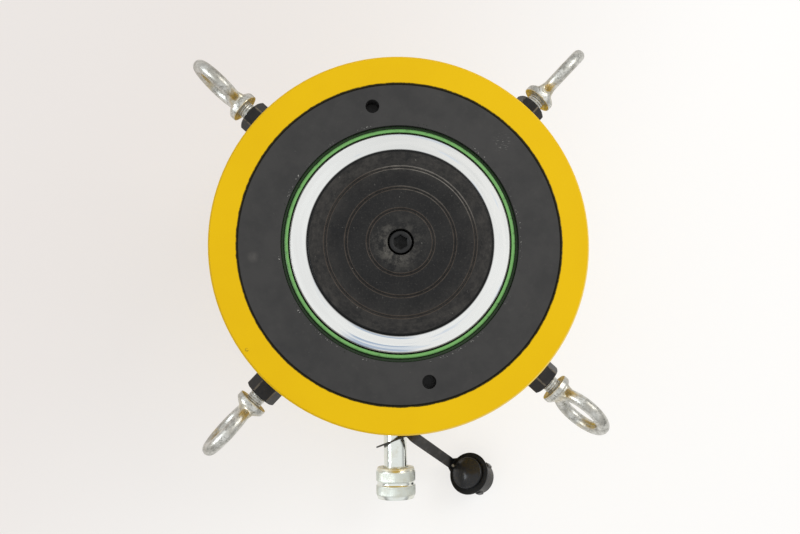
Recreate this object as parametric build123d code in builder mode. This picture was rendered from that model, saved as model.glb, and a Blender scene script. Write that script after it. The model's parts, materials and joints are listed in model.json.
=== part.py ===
"""Single-acting hydraulic cylinder, load return, about 300 tonnes at 700 bar.

The origin is the centre of the base's underside, +Z is the lifting direction,
and the oil coupler points to -Y. All sizes are in millimetres.
"""

from build123d import *
import os
from math import asin, atan2, cos, hypot, pi, radians, sin, sqrt, tan

os.makedirs("parts", exist_ok=True)

# Cylinder body
body_diameter = 300.0
body_height = 210.0
bore_diameter = 230.0
base_thickness = 45.0
base_edge_chamfer = 3.0
top_edge_chamfer = 1.5
mouth_chamfer = 1.2
base_bolt_circle = 200.0
base_bolt_count = 4
base_bolt_hole = 17.5
base_bolt_depth = 26.0

# Stop ring, screwed into the mouth of the body
ring_thread_diameter = 255.0
ring_height = 45.0
ring_bore_gap = 0.5
spanner_hole_circle = 222.0
spanner_hole_diameter = 11.0
spanner_hole_depth = 14.0
spanner_hole_angle = 100.7
set_screw_diameter = 10.0
set_screw_length = 16.0
set_screw_socket = 5.0
set_screw_drop = 18.0
set_screw_angle = 90.0

# Plunger with its piston head
plunger_diameter = 173.4
plunger_rise = 1.8
plunger_chamfer = 1.0
piston_height = 70.0
foot_height = 14.0
foot_diameter = 196.0
piston_gap = 0.4

# Seals and guide bands
wiper_width = 7.0
wiper_housing_depth = 9.0
wiper_lip_width = 3.2
wiper_lip_drop = 0.5
wiper_lip_gap = 0.9
wiper_lip_recess = 4.0
wiper_lip_foot = 0.5
wiper_throat_lead = 0.8
wiper_throat_length = 2.0
wiper_throat_end = 3.0
wiper_groove_drop = 3.6
rod_band_thickness = 2.5
rod_band_height = 20.0
rod_band_lift = 8.0
piston_band_thickness = 2.5
piston_band_height = 12.0
piston_band_drop = 5.0
seal_groove_height = 14.0
seal_corner = 1.5
seal_groove_depth = 9.0
seal_groove_lift = 15.0
backup_ring_height = 3.6
seal_lip_depth = 4.0

# Saddle and its screw
saddle_diameter = 145.0
saddle_stand_out = 2.1
saddle_recess_depth = 20.0
saddle_recess_gap = 0.35
saddle_chamfer = 1.0
saddle_groove_radii = (25.8, 42.8, 59.0)
saddle_groove_width = 2.4
saddle_groove_depth = 1.1
screw_thread = 12.0
screw_length = 30.0
screw_head_diameter = 18.4
screw_head_height = 12.0
screw_head_chamfer = 0.9
screw_socket = 10.0
screw_socket_depth = 6.0
screw_head_sink = 1.5
screw_head_gap = 1.2
screw_shank_gap = 0.6

# Lifting eye bolts and their lock nuts
eye_bolt_turn_angle = 1.6
eye_bolt_spread_angle = 44.5
eye_bolt_drop = 33.0
eye_bolt_thread = 16.0
eye_bolt_hole_depth = 18.0
eye_bolt_tip_gap = 1.0
eye_bolt_neck = 13.4
eye_bolt_neck_length = 6.6
eye_collar_diameter = 25.4
eye_collar_height = 5.0
eye_collar_bevel = 1.4
eye_dome_height = 4.2
eye_ring_outside = 52.2
eye_ring_section = 11.0
eye_ring_height = 30.2
eye_root_width = 22.4
eye_root_thickness = 10.4
eye_web_cover = 1.2
eye_shoulder_rise = 2.4
eye_bolt_runout = 1.0
eye_lean_angles = {"front_right": 12.0, "back_right": -2.0, "back_left": -2.0, "front_left": 9.0}
nut_across_flats = 24.0
nut_height = 14.8
nut_turn_angle = 7.0
spot_face_diameter = 32.0
spot_face_depth = 0.8

# Oil port and the coupler half screwed into it
port_lift = 8.0
port_thread = 17.0
port_thread_depth = 18.0
port_passage = 8.0
port_washer_thickness = 2.0
port_washer_rim = 1.4
shank_diameter = 21.6
port_thread_lead = 1.0
shank_length = 42.6
nose_spigot_diameter = 15.0
nose_spigot_length = 14.0
nose_flange_diameter = 26.0
nose_flange_thickness = 4.0
nose_diameter = 19.0
nose_length = 15.0
nose_edge_chamfer = 0.8
nose_flange_gap = 0.6
nose_ring_width = 2.4
nose_ring_depth = 1.6
nose_ring_setback = 3.0
nose_ring_stand_out = 0.3
valve_chamber_diameter = 11.0
valve_seat_setback = 4.0
valve_hole_diameter = 7.0
poppet_travel = 3.5
poppet_stand_out = 0.8
poppet_edge_chamfer = 0.6
poppet_head_length = 3.0
spring_wire = 1.0
spring_turns = 5
retainer_thickness = 2.0
retainer_hole = 5.0

# Knurled collar that turns on the coupler
collar_diameter = 36.8
collar_length = 28.8
collar_wall = 6.0
collar_socket_diameter = 31.8
collar_bevel_length = 4.2
collar_bevel_depth = 1.4
collar_groove_width = 4.4
collar_groove_depth = 1.0
collar_recess_depth = 2.2
snap_ring_thickness = 1.6
snap_ring_width = 1.6

# Dust cap and the moulded strap that ties it to the coupler
strap_plate = 2.2
strap_loop_plate = 1.6
strap_band = 1.8
strap_width = 10.0
strap_loop_outside = 38.0
strap_loop_hole = 25.6
strap_loop_turn_angle = 19.8
strap_loop_tilt_angle = 6.4
strap_loop_reach = 19.4
strap_tab_across = 15.5
strap_tab_height = 13.4
strap_twist_height = 4.0
strap_twist_out = 2.2
strap_fold_radius = 2.5
cap_loop_outside = 40.4
cap_loop_hole = 24.6
cap_loop_flare = 8.5
cap_loop_tail = 3.0
cap_reach_across = 72.8
cap_reach_out = 55.6
cap_tilt_angle = 39.0
cap_azimuth_angle = -28.4
cap_neck_diameter = 23.8
cap_head_diameter = 30.2
cap_head_height = 2.8
cap_crown = 5.2
cap_edge_round = 1.8
cap_plug_diameter = 31.6
cap_plug_length = 22.0
cap_wall = 2.8
cap_lug_width = 5.0
cap_lug_height = 1.6
cap_lug_length = 9.0
cap_lug_setback = 1.5
cap_lug_turn_angle = 10.0

# Clearances
thread_gap = 0.05
running_gap = 0.05
seat_gap = 0.3

# Heights and radii that follow from the sizes above
body_radius = body_diameter / 2
bore_radius = bore_diameter / 2
plunger_radius = plunger_diameter / 2
piston_radius = bore_radius - piston_gap
ring_floor = body_height - ring_height
piston_top = base_thickness + piston_height
stroke = ring_floor - piston_top
plunger_top = body_height + plunger_rise
saddle_floor = plunger_top - saddle_recess_depth
saddle_top = plunger_top + saddle_stand_out
port_height = base_thickness + port_lift
spot_radius = body_radius - spot_face_depth


def outline(plane, *points):
    """Closed outline on the plane through the given (across, along) points."""
    with BuildSketch(plane, mode=Mode.PRIVATE) as profile:
        with BuildLine():
            Polyline(*points, close=True)
        make_face()
    return profile.sketch


def side_plane(angle, height, lean=0.0):
    """Plane through the cylinder's axis that looks out of its side.

    Its Z points outwards at the given angle, and its X points up, leaning
    anticlockwise as seen from above.
    """
    out = Vector(cos(radians(angle)), sin(radians(angle)), 0)
    aside = Vector(-sin(radians(angle)), cos(radians(angle)), 0)
    up = aside * sin(radians(lean)) + Vector(0, 0, 1) * cos(radians(lean))
    return Plane(origin=(0, 0, height), x_dir=up, z_dir=out)


def section_of(plane):
    """Plane that cuts a side plane lengthwise: X is radius and Y is distance outwards."""
    return Plane(origin=plane.origin, x_dir=plane.x_dir, z_dir=plane.x_dir.cross(plane.z_dir))


# Places round the body
eye_names = ("front_right", "back_right", "back_left", "front_left")
eye_angles = {
    "front_right": eye_bolt_turn_angle - eye_bolt_spread_angle,
    "back_right": eye_bolt_turn_angle + eye_bolt_spread_angle,
    "back_left": eye_bolt_turn_angle - eye_bolt_spread_angle + 180,
    "front_left": eye_bolt_turn_angle + eye_bolt_spread_angle + 180,
}
eye_height = body_height - eye_bolt_drop
set_screw_height = body_height - set_screw_drop
port_plane = side_plane(-90, port_height)
port_section = section_of(port_plane)
port_axis = Axis(port_plane.origin, port_plane.z_dir)

# Cylinder body: a thick cup with a threaded mouth
mouth_radius = ring_thread_diameter / 2
with BuildPart() as cylinder_body:
    revolve(
        outline(
            Plane.XZ,
            (0, 0),
            (body_radius - base_edge_chamfer, 0),
            (body_radius, base_edge_chamfer),
            (body_radius, body_height - top_edge_chamfer),
            (body_radius - top_edge_chamfer, body_height),
            (mouth_radius + mouth_chamfer, body_height),
            (mouth_radius, body_height - mouth_chamfer),
            (mouth_radius, ring_floor),
            (bore_radius, ring_floor),
            (bore_radius, base_thickness),
            (0, base_thickness),
        ),
        axis=Axis.Z,
    )
    # tapped holes for the eye bolts, each with a flat for its nut
    for eye_name in eye_names:
        eye_plane = side_plane(eye_angles[eye_name], eye_height)
        with BuildSketch(eye_plane.offset(spot_radius)):
            Circle(spot_face_diameter / 2)
        extrude(amount=spot_face_depth * 2, mode=Mode.SUBTRACT)
        with BuildSketch(eye_plane.offset(body_radius - eye_bolt_hole_depth)):
            Circle(eye_bolt_thread / 2 + thread_gap)
        extrude(amount=eye_bolt_hole_depth * 2, mode=Mode.SUBTRACT)
    # oil port, with its passage into the bore just above the floor
    with BuildSketch(port_plane.offset(spot_radius)):
        Circle(spot_face_diameter / 2)
    extrude(amount=spot_face_depth * 2, mode=Mode.SUBTRACT)
    with BuildSketch(port_plane.offset(body_radius - port_thread_depth)):
        Circle(port_thread / 2 + thread_gap)
    extrude(amount=port_thread_depth * 2, mode=Mode.SUBTRACT)
    with BuildSketch(port_plane.offset(bore_radius - port_passage)):
        Circle(port_passage / 2)
    extrude(amount=body_radius - bore_radius, mode=Mode.SUBTRACT)
    # hole for the set screw that locks the stop ring
    with BuildSketch(side_plane(set_screw_angle, set_screw_height).offset(mouth_radius - 1)):
        Circle(set_screw_diameter / 2 + thread_gap)
    extrude(amount=body_radius - mouth_radius + 2, mode=Mode.SUBTRACT)
    # tapped holes in the underside
    with BuildSketch(Plane.XY):
        with PolarLocations(base_bolt_circle / 2, base_bolt_count, start_angle=45):
            Circle(base_bolt_hole / 2)
    extrude(amount=base_bolt_depth, mode=Mode.SUBTRACT)
cylinder_body.part.label = "cylinder_body"
export_step(cylinder_body.part, "parts/cylinder_body.step")

# Stop ring: holds the plunger in, guides it and carries the wiper
ring_outer = mouth_radius - thread_gap
ring_inner = plunger_radius + ring_bore_gap
wiper_outer = plunger_radius + wiper_width
wiper_floor = body_height - wiper_housing_depth
rod_band_floor = ring_floor + rod_band_lift
rod_band_outer = plunger_radius + rod_band_thickness
with BuildPart() as stop_ring:
    revolve(
        outline(
            Plane.XZ,
            (ring_inner, ring_floor),
            (ring_outer, ring_floor),
            (ring_outer, body_height - mouth_chamfer),
            (ring_outer - mouth_chamfer, body_height),
            (wiper_outer, body_height),
            (wiper_outer, wiper_floor),
            (ring_inner, wiper_floor),
            (ring_inner, rod_band_floor + rod_band_height),
            (rod_band_outer, rod_band_floor + rod_band_height),
            (rod_band_outer, rod_band_floor),
            (ring_inner, rod_band_floor),
        ),
        axis=Axis.Z,
    )
    # two blind holes for a pin spanner
    with BuildSketch(Plane.XY.offset(body_height - spanner_hole_depth)):
        with PolarLocations(spanner_hole_circle / 2, 2, start_angle=spanner_hole_angle):
            Circle(spanner_hole_diameter / 2)
    extrude(amount=spanner_hole_depth, mode=Mode.SUBTRACT)
stop_ring.part.label = "stop_ring"
export_step(stop_ring.part, "parts/stop_ring.step")

# Set screw that keeps the stop ring from unscrewing
set_screw_plane = side_plane(set_screw_angle, set_screw_height)
with BuildPart() as ring_set_screw:
    with BuildSketch(set_screw_plane.offset(mouth_radius)):
        Circle(set_screw_diameter / 2)
    extrude(amount=set_screw_length)
    with BuildSketch(set_screw_plane.offset(mouth_radius + set_screw_length / 2)):
        RegularPolygon(radius=set_screw_socket / 2, side_count=6, major_radius=False)
    extrude(amount=set_screw_length, mode=Mode.SUBTRACT)
ring_set_screw.part.label = "ring_set_screw"
export_step(ring_set_screw.part, "parts/ring_set_screw.step")

# Wiper seal: its lip scrapes the plunger, and a groove lies outside the lip
wiper_lip_outer = plunger_radius + wiper_lip_gap + wiper_lip_width
wiper_groove_floor = body_height - wiper_groove_drop
wiper_lip_top = body_height - wiper_lip_drop
with BuildPart() as wiper_seal:
    revolve(
        outline(
            Plane.XZ,
            (ring_inner, wiper_floor),
            (wiper_outer - running_gap, wiper_floor),
            (wiper_outer - running_gap, wiper_groove_floor),
            (wiper_lip_outer + wiper_lip_foot, wiper_groove_floor),
            (wiper_lip_outer, wiper_lip_top),
            (wiper_lip_outer - wiper_lip_width, wiper_lip_top),
            (wiper_lip_outer - wiper_lip_width, wiper_lip_top - wiper_lip_recess),
            (plunger_radius + running_gap, wiper_lip_top - wiper_lip_recess - wiper_throat_lead),
            (plunger_radius + running_gap, wiper_lip_top - wiper_lip_recess - wiper_throat_length),
            (ring_inner, wiper_lip_top - wiper_lip_recess - wiper_throat_end),
        ),
        axis=Axis.Z,
    )
wiper_seal.part.label = "wiper_seal"
export_step(wiper_seal.part, "parts/wiper_seal.step")

# Guide band that the plunger slides in, set in the stop ring
with BuildPart() as rod_guide_band:
    revolve(
        outline(
            Plane.XZ,
            (plunger_radius + running_gap, rod_band_floor + running_gap),
            (rod_band_outer - running_gap, rod_band_floor + running_gap),
            (rod_band_outer - running_gap, rod_band_floor + rod_band_height - running_gap),
            (plunger_radius + running_gap, rod_band_floor + rod_band_height - running_gap),
        ),
        axis=Axis.Z,
    )
rod_guide_band.part.label = "rod_guide_band"
export_step(rod_guide_band.part, "parts/rod_guide_band.step")

# Plunger: foot, piston head with its two grooves, rod and saddle recess in one piece
piston_floor = base_thickness + foot_height
seal_groove_floor = piston_floor + seal_groove_lift
seal_groove_radius = bore_radius - seal_groove_depth
piston_band_floor = piston_top - piston_band_drop - piston_band_height
piston_band_radius = bore_radius - piston_band_thickness
saddle_recess_radius = saddle_diameter / 2 + saddle_recess_gap
screw_hole_depth = screw_length
with BuildPart() as plunger:
    revolve(
        outline(
            Plane.XZ,
            (0, base_thickness),
            (foot_diameter / 2, base_thickness),
            (foot_diameter / 2, piston_floor),
            (piston_radius, piston_floor),
            (piston_radius, seal_groove_floor),
            (seal_groove_radius, seal_groove_floor),
            (seal_groove_radius, seal_groove_floor + seal_groove_height),
            (piston_radius, seal_groove_floor + seal_groove_height),
            (piston_radius, piston_band_floor),
            (piston_band_radius, piston_band_floor),
            (piston_band_radius, piston_band_floor + piston_band_height),
            (piston_radius, piston_band_floor + piston_band_height),
            (piston_radius, piston_top),
            (plunger_radius, piston_top),
            (plunger_radius, plunger_top - plunger_chamfer),
            (plunger_radius - plunger_chamfer, plunger_top),
            (saddle_recess_radius, plunger_top),
            (saddle_recess_radius, saddle_floor),
            (0, saddle_floor),
        ),
        axis=Axis.Z,
    )
    with BuildSketch(Plane.XY.offset(saddle_floor - screw_hole_depth)):
        Circle(screw_thread / 2 + thread_gap)
    extrude(amount=screw_hole_depth, mode=Mode.SUBTRACT)
plunger.part.label = "plunger"
export_step(plunger.part, "parts/plunger.step")

# Piston seal: a lip seal that opens towards the oil below
seal_inner = seal_groove_radius + running_gap
seal_outer = bore_radius - running_gap
seal_floor = seal_groove_floor + running_gap
seal_top = seal_groove_floor + seal_groove_height - backup_ring_height - 2 * running_gap
seal_middle = (seal_inner + seal_outer) / 2
with BuildPart() as piston_seal:
    revolve(
        outline(
            Plane.XZ,
            (seal_inner, seal_floor),
            (seal_inner + seal_corner, seal_floor),
            (seal_middle, seal_floor + seal_lip_depth),
            (seal_outer - seal_corner, seal_floor),
            (seal_outer, seal_floor),
            (seal_outer, seal_top),
            (seal_inner, seal_top),
        ),
        axis=Axis.Z,
    )
piston_seal.part.label = "piston_seal"
export_step(piston_seal.part, "parts/piston_seal.step")

# Back-up ring above the seal, which keeps it from being pressed into the gap
backup_floor = seal_top + running_gap
with BuildPart() as piston_backup_ring:
    revolve(
        outline(
            Plane.XZ,
            (seal_inner, backup_floor),
            (seal_outer, backup_floor),
            (seal_outer, backup_floor + backup_ring_height),
            (seal_inner, backup_floor + backup_ring_height),
        ),
        axis=Axis.Z,
    )
piston_backup_ring.part.label = "piston_backup_ring"
export_step(piston_backup_ring.part, "parts/piston_backup_ring.step")

# Guide band round the piston head
with BuildPart() as piston_guide_band:
    revolve(
        outline(
            Plane.XZ,
            (piston_band_radius + running_gap, piston_band_floor + running_gap),
            (bore_radius - running_gap, piston_band_floor + running_gap),
            (bore_radius - running_gap, piston_band_floor + piston_band_height - running_gap),
            (piston_band_radius + running_gap, piston_band_floor + piston_band_height - running_gap),
        ),
        axis=Axis.Z,
    )
piston_guide_band.part.label = "piston_guide_band"
export_step(piston_guide_band.part, "parts/piston_guide_band.step")

# Saddle: a hard disc with turned rings that the load stands on
screw_seat = saddle_top - screw_head_sink - screw_head_height
screw_well_radius = screw_head_diameter / 2 + screw_head_gap
with BuildPart() as saddle:
    revolve(
        outline(
            Plane.XZ,
            (0, saddle_floor),
            (saddle_diameter / 2 - saddle_chamfer, saddle_floor),
            (saddle_diameter / 2, saddle_floor + saddle_chamfer),
            (saddle_diameter / 2, saddle_top - saddle_chamfer),
            (saddle_diameter / 2 - saddle_chamfer, saddle_top),
            (0, saddle_top),
        ),
        axis=Axis.Z,
    )
    for groove_radius in saddle_groove_radii:
        with BuildSketch(Plane.XZ):
            with BuildLine():
                Polyline(
                    (groove_radius - saddle_groove_width / 2, saddle_top),
                    (groove_radius - saddle_groove_width / 4, saddle_top - saddle_groove_depth),
                    (groove_radius + saddle_groove_width / 4, saddle_top - saddle_groove_depth),
                    (groove_radius + saddle_groove_width / 2, saddle_top),
                    close=True,
                )
            make_face()
        revolve(axis=Axis.Z, mode=Mode.SUBTRACT)
    with BuildSketch(Plane.XY.offset(screw_seat)):
        Circle(screw_well_radius)
    extrude(amount=screw_head_height + screw_head_sink, mode=Mode.SUBTRACT)
    with BuildSketch(Plane.XY.offset(saddle_floor)):
        Circle(screw_thread / 2 + screw_shank_gap)
    extrude(amount=saddle_top - saddle_floor, mode=Mode.SUBTRACT)
saddle.part.label = "saddle"
export_step(saddle.part, "parts/saddle.step")

# Socket head screw that holds the saddle down
screw_head_top = screw_seat + screw_head_height
screw_head_radius = screw_head_diameter / 2
with BuildPart() as saddle_screw:
    revolve(
        outline(
            Plane.XZ,
            (0, screw_seat - screw_length),
            (screw_thread / 2, screw_seat - screw_length),
            (screw_thread / 2, screw_seat),
            (screw_head_radius, screw_seat),
            (screw_head_radius, screw_head_top - screw_head_chamfer),
            (screw_head_radius - screw_head_chamfer, screw_head_top),
            (0, screw_head_top),
        ),
        axis=Axis.Z,
    )
    with BuildSketch(Plane.XY.offset(screw_head_top - screw_socket_depth)):
        RegularPolygon(radius=screw_socket / 2, side_count=6, major_radius=False)
    extrude(amount=screw_socket_depth, mode=Mode.SUBTRACT)
saddle_screw.part.label = "saddle_screw"
export_step(saddle_screw.part, "parts/saddle_screw.step")

# Eye bolts: threaded shank, waist, collar, and a ring joined to it by a forged root
nut_face = spot_radius + nut_height
eye_seat = nut_face + eye_bolt_neck_length
eye_tip = body_radius - eye_bolt_hole_depth + eye_bolt_tip_gap
eye_centre = eye_seat + eye_ring_height
eye_mean_radius = (eye_ring_outside - eye_ring_section) / 2
eye_hole_radius = eye_mean_radius - eye_ring_section / 2
eye_web = eye_centre - eye_hole_radius - eye_web_cover


def make_eye_bolt(name):
    """Build and write one eye bolt at its place on the body."""
    plane = side_plane(eye_angles[name], eye_height, eye_lean_angles[name])
    across = plane.x_dir.cross(plane.z_dir)
    collar_radius = eye_collar_diameter / 2
    collar_top = eye_seat + eye_collar_height
    dome_top = collar_top + eye_dome_height
    neck_start = nut_face + eye_bolt_runout
    half_root = eye_root_width / 2
    with BuildPart() as eye_bolt:
        # threaded shank, waisted neck, and the collar with its domed shoulder
        revolve(
            outline(
                section_of(plane),
                (0, eye_tip),
                (eye_bolt_thread / 2, eye_tip),
                (eye_bolt_thread / 2, neck_start),
                (eye_bolt_neck / 2, neck_start + (eye_bolt_thread - eye_bolt_neck) / 2),
                (eye_bolt_neck / 2, eye_seat),
                (collar_radius, eye_seat),
                (collar_radius, collar_top),
                (collar_radius - eye_collar_bevel, collar_top + eye_collar_bevel),
                (eye_ring_section * 0.75, dome_top),
                (eye_ring_section / 2 - eye_web_cover, eye_web - eye_web_cover),
                (0, eye_web - eye_web_cover),
            ),
            axis=Axis(plane.origin, plane.z_dir),
        )
        # the root spreads from the collar into the two limbs of the ring
        with BuildSketch(section_of(plane)):
            with BuildLine():
                Polyline(
                    (-half_root, collar_top),
                    (half_root, collar_top),
                    (half_root + eye_dome_height, dome_top + eye_shoulder_rise),
                    (half_root - eye_dome_height / 2, eye_web),
                    (eye_dome_height / 2 - half_root, eye_web),
                    (-half_root - eye_dome_height, dome_top + eye_shoulder_rise),
                    close=True,
                )
            make_face()
        extrude(amount=eye_root_thickness / 2, both=True)
        # the ring, round in section to within twelve flats
        ring_origin = plane.origin + plane.z_dir * eye_centre
        with BuildSketch(Plane(origin=ring_origin, x_dir=plane.z_dir, z_dir=plane.x_dir)):
            with Locations((eye_mean_radius, 0)):
                RegularPolygon(radius=eye_ring_section / 2, side_count=12)
        revolve(axis=Axis(ring_origin, across))
    eye_bolt.part.label = "eye_bolt_" + name
    export_step(eye_bolt.part, "parts/eye_bolt_" + name + ".step")


def make_nut(name):
    """Build and write one lock nut, seated on its flat on the body."""
    plane = side_plane(eye_angles[name], eye_height, nut_turn_angle)
    axis = Axis(plane.origin, plane.z_dir)
    corner_radius = nut_across_flats / sqrt(3)
    flat_radius = nut_across_flats / 2
    chamfer_height = (corner_radius - flat_radius) * tan(radians(30))
    with BuildPart() as nut:
        with BuildSketch(plane.offset(spot_radius)):
            RegularPolygon(radius=flat_radius, side_count=6, major_radius=False, rotation=30)
            Circle(eye_bolt_thread / 2 + thread_gap, mode=Mode.SUBTRACT)
        extrude(amount=nut_height)
        # both ends are turned to a cone, which rounds off the corners
        with BuildSketch(section_of(plane)):
            with BuildLine():
                Polyline(
                    (0, spot_radius),
                    (flat_radius, spot_radius),
                    (corner_radius, spot_radius + chamfer_height),
                    (corner_radius, nut_face - chamfer_height),
                    (flat_radius, nut_face),
                    (0, nut_face),
                    close=True,
                )
            make_face()
        revolve(axis=axis, mode=Mode.INTERSECT)
    nut.part.label = "eye_bolt_nut_" + name
    export_step(nut.part, "parts/eye_bolt_nut_" + name + ".step")


for eye_name in eye_names:
    make_eye_bolt(eye_name)
    make_nut(eye_name)

# Sealing washer between the coupler's shank and the body
washer_outer = shank_diameter / 2 + port_washer_rim
with BuildPart() as port_washer:
    with BuildSketch(port_plane.offset(spot_radius)):
        Circle(washer_outer)
        Circle(port_thread / 2 + running_gap, mode=Mode.SUBTRACT)
    extrude(amount=port_washer_thickness)
port_washer.part.label = "port_washer"
export_step(port_washer.part, "parts/port_washer.step")

# Coupler body: threaded end in the port, then a plain round shank
shank_start = spot_radius + port_washer_thickness
collar_start = shank_start + shank_length
shank_end = collar_start + collar_wall + running_gap
shank_radius = shank_diameter / 2
port_thread_tip = body_radius - port_thread_depth + port_thread_lead
spigot_radius = nose_spigot_diameter / 2
spigot_end = shank_end - nose_spigot_length
snap_end = collar_start + collar_recess_depth - running_gap
snap_start = snap_end - snap_ring_thickness
snap_inner = shank_radius - snap_ring_width / 2
snap_outer = shank_radius + snap_ring_width / 2
with BuildPart() as coupler_body:
    revolve(
        outline(
            port_section,
            (port_passage / 2, port_thread_tip),
            (port_thread / 2 - port_thread_lead, port_thread_tip),
            (port_thread / 2, port_thread_tip + port_thread_lead),
            (port_thread / 2, shank_start),
            (shank_radius, shank_start),
            (shank_radius, snap_start - running_gap),
            (snap_inner - running_gap, snap_start - running_gap),
            (snap_inner - running_gap, snap_end + running_gap),
            (shank_radius, snap_end + running_gap),
            (shank_radius, shank_end),
            (spigot_radius + thread_gap, shank_end),
            (spigot_radius + thread_gap, spigot_end),
            (port_passage / 2, spigot_end),
        ),
        axis=port_axis,
    )
coupler_body.part.label = "coupler_body"
export_step(coupler_body.part, "parts/coupler_body.step")

# Snap ring in the shank's groove, which keeps the collar from sliding back
with BuildPart() as collar_snap_ring:
    with BuildSketch(port_plane.offset(snap_start)):
        Circle(snap_outer)
        Circle(snap_inner, mode=Mode.SUBTRACT)
    extrude(amount=snap_ring_thickness)
collar_snap_ring.part.label = "collar_snap_ring"
export_step(collar_snap_ring.part, "parts/collar_snap_ring.step")

# Coupler nose: screwed into the shank, with a flange in front of the collar's wall
flange_start = shank_end
flange_end = flange_start + nose_flange_thickness
nose_end = flange_end + nose_length
nose_radius = nose_diameter / 2
chamber_radius = valve_chamber_diameter / 2
valve_hole_radius = valve_hole_diameter / 2
valve_seat = nose_end - valve_seat_setback
retainer_start = spigot_end + running_gap
chamber_start = retainer_start + retainer_thickness
ring_groove_end = nose_end - nose_ring_setback
ring_groove_start = ring_groove_end - nose_ring_width
ring_groove_radius = nose_radius - nose_ring_depth
with BuildPart() as coupler_nose:
    revolve(
        outline(
            port_section,
            (chamber_radius, chamber_start),
            (spigot_radius, chamber_start),
            (spigot_radius, flange_start),
            (nose_flange_diameter / 2, flange_start),
            (nose_flange_diameter / 2, flange_end),
            (nose_radius, flange_end),
            (nose_radius, ring_groove_start),
            (ring_groove_radius, ring_groove_start),
            (ring_groove_radius, ring_groove_end),
            (nose_radius, ring_groove_end),
            (nose_radius, nose_end - nose_edge_chamfer),
            (nose_radius - nose_edge_chamfer, nose_end),
            (valve_hole_radius, nose_end),
            (valve_hole_radius, valve_seat),
            (chamber_radius, valve_seat - (chamber_radius - valve_hole_radius)),
        ),
        axis=port_axis,
    )
coupler_nose.part.label = "coupler_nose"
export_step(coupler_nose.part, "parts/coupler_nose.step")

# Soft ring in the nose's groove, which seals against the hose half
with BuildPart() as coupler_seal_ring:
    with BuildSketch(port_plane.offset(ring_groove_start + running_gap)):
        Circle(nose_radius + nose_ring_stand_out)
        Circle(ring_groove_radius + running_gap, mode=Mode.SUBTRACT)
    extrude(amount=nose_ring_width - 2 * running_gap)
coupler_seal_ring.part.label = "coupler_seal_ring"
export_step(coupler_seal_ring.part, "parts/coupler_seal_ring.step")

# Valve poppet: a coned head that closes the nose, and a stem that the hose half pushes
poppet_head_radius = chamber_radius - seat_gap
poppet_stem_radius = valve_hole_radius - running_gap * 2
poppet_cone_end = valve_seat - seat_gap
poppet_cone_start = poppet_cone_end - (poppet_head_radius - poppet_stem_radius)
poppet_back = poppet_cone_start - poppet_head_length
spring_mean_radius = poppet_head_radius - spring_wire
with BuildPart() as coupler_poppet:
    revolve(
        outline(
            port_section,
            (0, poppet_back),
            (poppet_head_radius, poppet_back),
            (poppet_head_radius, poppet_cone_start),
            (poppet_stem_radius, poppet_cone_end),
            (poppet_stem_radius, nose_end + poppet_stand_out - poppet_edge_chamfer),
            (poppet_stem_radius - poppet_edge_chamfer, nose_end + poppet_stand_out),
            (0, nose_end + poppet_stand_out),
        ),
        axis=port_axis,
    )
coupler_poppet.part.label = "coupler_poppet"
export_step(coupler_poppet.part, "parts/coupler_poppet.step")

# Retainer disc with a hole for the oil, which the spring pushes against
with BuildPart() as spring_retainer:
    with BuildSketch(port_plane.offset(retainer_start)):
        Circle(spigot_radius - running_gap)
        Circle(retainer_hole / 2, mode=Mode.SUBTRACT)
    extrude(amount=retainer_thickness - running_gap)
spring_retainer.part.label = "spring_retainer"
export_step(spring_retainer.part, "parts/spring_retainer.step")

# Coil spring behind the poppet
spring_start = chamber_start + spring_wire / 2 + running_gap
spring_length = poppet_back - running_gap - spring_wire / 2 - spring_start
with BuildPart() as coupler_spring:
    with BuildLine() as spring_path:
        Helix(
            pitch=spring_length / spring_turns,
            height=spring_length,
            radius=spring_mean_radius,
            center=port_axis.position + port_axis.direction * spring_start,
            direction=port_axis.direction,
        )
    with BuildSketch(Plane(origin=spring_path.line @ 0, z_dir=spring_path.line % 0)):
        RegularPolygon(radius=spring_wire / 2, side_count=8)
    sweep(is_frenet=True)
coupler_spring.part.label = "coupler_spring"
export_step(coupler_spring.part, "parts/coupler_spring.step")

# Collar: turns freely on the shank, and its socket takes the hose half or the dust cap
collar_end = collar_start + collar_length
collar_radius = collar_diameter / 2
collar_socket_radius = collar_socket_diameter / 2
groove_middle = (collar_start + collar_end) / 2
recess_radius = snap_outer + seat_gap
with BuildPart() as coupler_collar:
    revolve(
        outline(
            port_section,
            (recess_radius, collar_start),
            (collar_radius - collar_bevel_depth, collar_start),
            (collar_radius, collar_start + collar_bevel_length),
            (collar_radius, groove_middle - collar_groove_width / 2),
            (collar_radius - collar_groove_depth, groove_middle - collar_groove_width / 4),
            (collar_radius - collar_groove_depth, groove_middle + collar_groove_width / 4),
            (collar_radius, groove_middle + collar_groove_width / 2),
            (collar_radius, collar_end - collar_bevel_length),
            (collar_radius - collar_bevel_depth, collar_end),
            (collar_socket_radius, collar_end),
            (collar_socket_radius, flange_end),
            (nose_flange_diameter / 2 + nose_flange_gap, flange_end),
            (nose_flange_diameter / 2 + nose_flange_gap, collar_start + collar_wall),
            (shank_radius + running_gap, collar_start + collar_wall),
            (shank_radius + running_gap, collar_start + collar_recess_depth),
            (recess_radius, collar_start + collar_recess_depth),
        ),
        axis=port_axis,
    )
coupler_collar.part.label = "coupler_collar"
export_step(coupler_collar.part, "parts/coupler_collar.step")

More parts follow.
